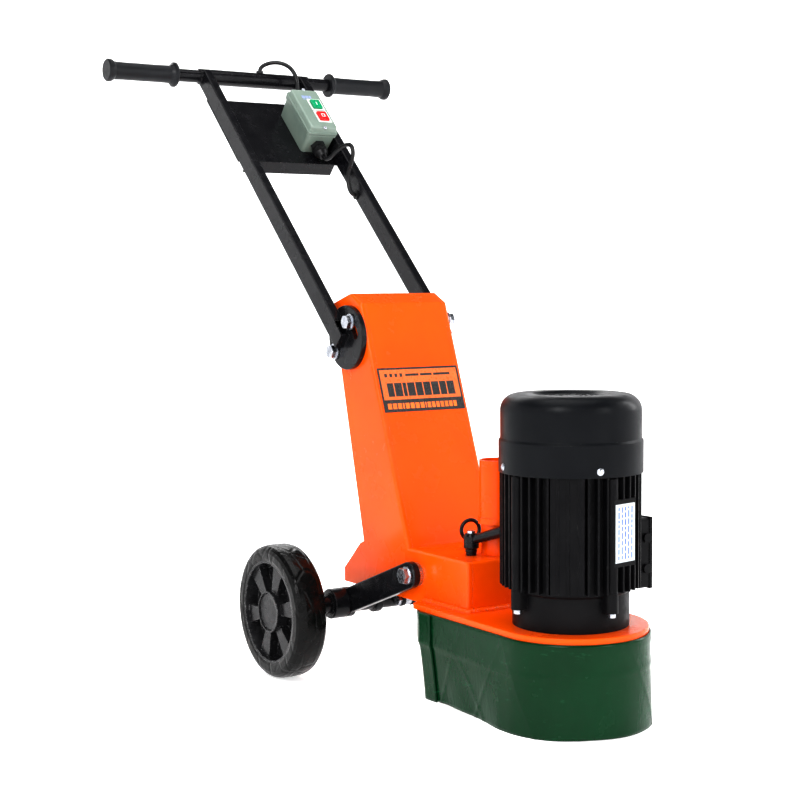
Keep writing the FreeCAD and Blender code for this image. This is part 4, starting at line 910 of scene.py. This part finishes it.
@dataclass
class Chassis:
    """Orange box, neck, port and their small fittings."""

    palette: Palette

    def build(self) -> None:
        """Adds the weld ripples and the printed band."""
        self.weld()
        self.band()

    def dress(self) -> None:
        """Finishes the CAD nodes."""
        self.palette.paint(("base_plate", "side_shell_left", "side_shell_right", "chassis_deck",
                            "neck_front", "neck_back", "dust_port"), Look.orange_paint)
        self.palette.paint(("arm_pivots", "handle_bolts", "clamp_stud"), Look.zinc)
        self.palette.paint(("plunger_pin", "plunger_body", "clamp_lever"), Look.black_paint)
        self.palette.paint(("neck_label",), Look.label_dark)

    def weld(self) -> None:
        """Rippled bead over the plain fillet along the foot of the box."""
        chance = random.Random(5)
        half, front, rear, height = 79.9, 126.0, 233.0, 133.4
        spacing, thin, swell, jitter, ripples, sides = 0.9, 4.3, 1.3, 0.4, 5, 12
        corners = ((-half, rear), (-half, front), (half, front), (half, rear))
        path = []
        for (x, y), (end_x, end_y) in zip(corners, corners[1:]):
            steps = int(math.hypot(end_x - x, end_y - y) / spacing)
            for step in range(steps):
                share = step / steps
                path.append(from_motor(x + (end_x - x) * share, y + (end_y - y) * share, height))
        rows = []
        for index in range(1, len(path) - 1):
            along = (path[index + 1] - path[index - 1]).normalized()
            side = Vector((along.y, -along.x, 0.0))
            ripple = 1.0 - (index % ripples) / ripples
            radius = (thin + swell * ripple + chance.uniform(-jitter, jitter)) / 1000
            rows.append(ring(path[index], side, Vector((0, 0, 1)), radius, sides))
        mesh = bmesh.new()
        grid(mesh, rows, closed=True)
        new_piece("weld_bead", mesh, self.palette.get(Look.orange_paint), "chassis")

    def band(self) -> None:
        """Print on the neck's dark plate: a pale field with dark blocks, over a dark strip."""
        low, high = (Vector(p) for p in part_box("neck_label"))
        across = Vector((1, 0, 0))
        up = Vector((0.0, LABEL_SLOPE, 1.0)).normalized()
        plate, ink = 0.0005, Decal.thickness
        height = (high.z - low.z - plate * up.y) / up.z * 1000
        width = (high.x - low.x) * 1000
        corner = Vector((low.x, low.y, low.z + plate * up.y))
        strip, margin = 17.0, 3.0
        field_low, field_high = strip + 2.0, height - margin
        base = Decal(corner, across, up)
        base.bars("label_field",
                  [(margin, field_low, width - 2 * margin, field_high - field_low)],
                  self.palette, Look.print_pale, "chassis")
        words = (11.0, 13.0, 6.0, 13.0, 12.0, 12.5, 13.0, 11.5, 13.0)
        word_foot, word_height, gap = field_low + 5.0, 21.0, 2.0
        x = (width - sum(words) - gap * (len(words) - 1)) / 2
        dark = []
        for wide in words:
            dark.append((x, word_foot, wide, word_height))
            x += wide + gap
        dark += [(11.0 + 9.0 * square, field_high - 11.5, 4.6, 5.2) for square in range(4)]
        dark += [(x, field_high - 10.6, wide, 3.4)
                 for x, wide in ((48.0, 24.0), (75.0, 21.0), (99.0, 30.0))]
        over = Decal(corner + across.cross(up) * ink, across, up)
        over.bars("label_words", dark, self.palette, Look.label_dark, "chassis")
        letters = (8.0, 8.0, 8.0, 4.0, 8.0, 8.0, 8.0, 8.0, 3.0) + (7.0,) * 7
        light = []
        x = 7.0
        for wide in letters:
            light.append((x, 4.5, wide - 1.0, 9.0))
            x += wide + 0.9
        base.bars("label_strip", light, self.palette, Look.print_orange, "chassis")


@dataclass
class Motor:
    """Upright motor, its rotor and grinding head."""

    palette: Palette
    plate_turn: float = -79.5           # degrees round the motor from +X
    plate_radius: float = 92.62         # millimetres, as are the four below
    plate_foot: float = 226.0
    plate_half: float = 19.5
    line_foot: float = 4.0
    line_head: float = 72.0

    def build(self) -> None:
        """Prints the rating plate."""
        turn = math.radians(self.plate_turn)
        out = Vector((math.cos(turn), math.sin(turn), 0.0))
        along = Vector((-out.y, out.x, 0.0))
        foot = from_motor(0, 0, self.plate_foot) + out * (self.plate_radius / 1000)
        plate = Decal(foot - along * (self.plate_half / 1000), along, Vector((0, 0, 1)))
        lines = []
        chance = random.Random(3)
        for column in range(5):
            start = self.line_foot
            while start < self.line_head - 2.0:
                tall = min(chance.uniform(3.5, 9.0), self.line_head - start)
                lines.append((5.5 + column * 6.6, start, 2.0, tall))
                start += tall + 2.2
        plate.bars("plate_lines", lines, self.palette, Look.print_blue, "chassis")

    def dress(self) -> None:
        """Finishes the CAD nodes."""
        self.palette.paint(("motor_end_shield", "motor_frame", "motor_rear_shield",
                            "terminal_box"), Look.motor_black)
        self.palette.paint(("fan_cowl",), Look.cowl_black)
        self.palette.paint(("motor_bolts", "disc_bolts"), Look.zinc)
        self.palette.paint(("nameplate",), Look.plate_silver)
        self.palette.paint(("stator",), Look.lamination)
        self.palette.paint(("shaft_bearings", "rotor_shaft", "drive_hub", "grinding_disc"),
                           Look.steel)
        self.palette.paint(("cooling_fan",), Look.black_plastic)
        self.palette.paint(("diamond_segments",), Look.segment_bronze)


@dataclass
class RunningGear:
    """Wheel frame, wheels and height adjuster."""

    palette: Palette

    def dress(self) -> None:
        """Finishes the CAD nodes."""
        self.palette.paint(("wheel_arm_left", "wheel_arm_right", "axle_tube", "axle"),
                           Look.black_paint)
        self.palette.paint(("clevis_pin", "adjuster_spindle", "adjuster_trunnion"), Look.zinc)
        self.palette.paint(("hub_bearings_left", "hub_bearings_right"), Look.steel)
        self.palette.paint(("tyre_left", "tyre_right"), Look.tyre_black)
        self.palette.paint(("wheel_core_left", "wheel_core_right"), Look.wheel_black)


@dataclass
class Handle:
    """Tube handle, grips and switch box. Places are on_handle, in millimetres."""

    palette: Palette
    box_x: float = 64.0
    start_s: float = 114.0
    stop_s: float = 146.0
    button_face: float = 44.22
    lid_face: float = 40.05
    screw_places: tuple[tuple[float, float], ...] = ((56.75, 175.2), (56.75, 71.8))
    screw_seat: float = 39.0
    screw_profile: tuple[tuple[float, float], ...] = (      # radius and rise
        (3.4, 0.0), (3.4, 0.9), (2.9, 1.7), (1.7, 2.2), (1.5, 2.25), (1.1, 1.5), (0.05, 1.4))

    def build(self) -> None:
        """Adds the box's screws and marks."""
        self.marks()
        self.screws()

    def dress(self) -> None:
        """Finishes the CAD nodes."""
        self.palette.paint(("handle_leg_left", "handle_leg_right", "handlebar", "switch_panel"),
                           Look.black_paint)
        self.palette.paint(("grip_left", "grip_right"), Look.grip_rubber)
        self.palette.paint(("switch_base", "switch_lid"), Look.switch_grey)
        self.palette.paint(("button_bezels",), Look.bezel_white)
        self.palette.paint(("start_button",), Look.button_green)
        self.palette.paint(("stop_button",), Look.button_red)
        self.palette.paint(("cable_glands",), Look.black_plastic)
        self.palette.paint(("box_screws",), Look.zinc)

    def marks(self) -> None:
        """I and O on the buttons, and a plain printed line above them."""
        across = Vector((1, 0, 0))
        start = Decal(on_handle(self.box_x, self.start_s, self.button_face), across, -DOWN)
        start.bars("mark_start", [(-0.8, -4.0, 1.6, 8.0)], self.palette, Look.print_white,
                   "start_button")
        stop = Decal(on_handle(self.box_x, self.stop_s, self.button_face), across, -DOWN)
        stop.bars("mark_stop", [(-3.6, -4.0, 1.5, 8.0), (2.1, -4.0, 1.5, 8.0),
                                (-2.1, -4.0, 4.2, 1.5), (-2.1, 2.5, 4.2, 1.5)],
                  self.palette, Look.print_white, "stop_button")
        line = Decal(on_handle(45.0, 96.0, self.lid_face), across, -DOWN)
        line.bars("box_print", [(0.0, 0.0, 6.0, 7.0), (7.2, 0.0, 6.0, 7.0),
                                (14.4, 0.0, 4.0, 7.0), (0.0, -3.4, 18.4, 1.4)],
                  self.palette, Look.lavender_ink, "handle")

    def screws(self) -> None:
        """Domed lid screws with a dimple, sunk in the lid's lower and upper rims."""
        mesh = bmesh.new()
        for x, s in self.screw_places:
            grid(mesh, [ring(on_handle(x, s, self.screw_seat + rise), Vector((1, 0, 0)), DOWN,
                             radius / 1000, 20)
                        for radius, rise in self.screw_profile], closed=True)
        new_piece("lid_screws", mesh, self.palette.get(Look.zinc), "handle")


def main() -> None:
    """Builds every assembly in order."""
    logging.basicConfig(level=logging.INFO, format="%(name)s: %(message)s")
    palette = Palette()
    steps: list[tuple[str, Callable[[], None]]] = [
        ("studio", Studio(palette).build),
        ("cables", Cables(palette).build),
        ("skirt", Skirt(palette).build),
    ]
    for part in (Chassis(palette), Motor(palette), Handle(palette)):
        steps.append((type(part).__name__ + " details", part.build))
    for part in (Chassis(palette), Motor(palette), RunningGear(palette), Handle(palette)):
        steps.append((type(part).__name__ + " finishes", part.dress))
    for name, step in steps:
        step()
        log.info("%s done", name)


if __name__ == "__main__":
    main()
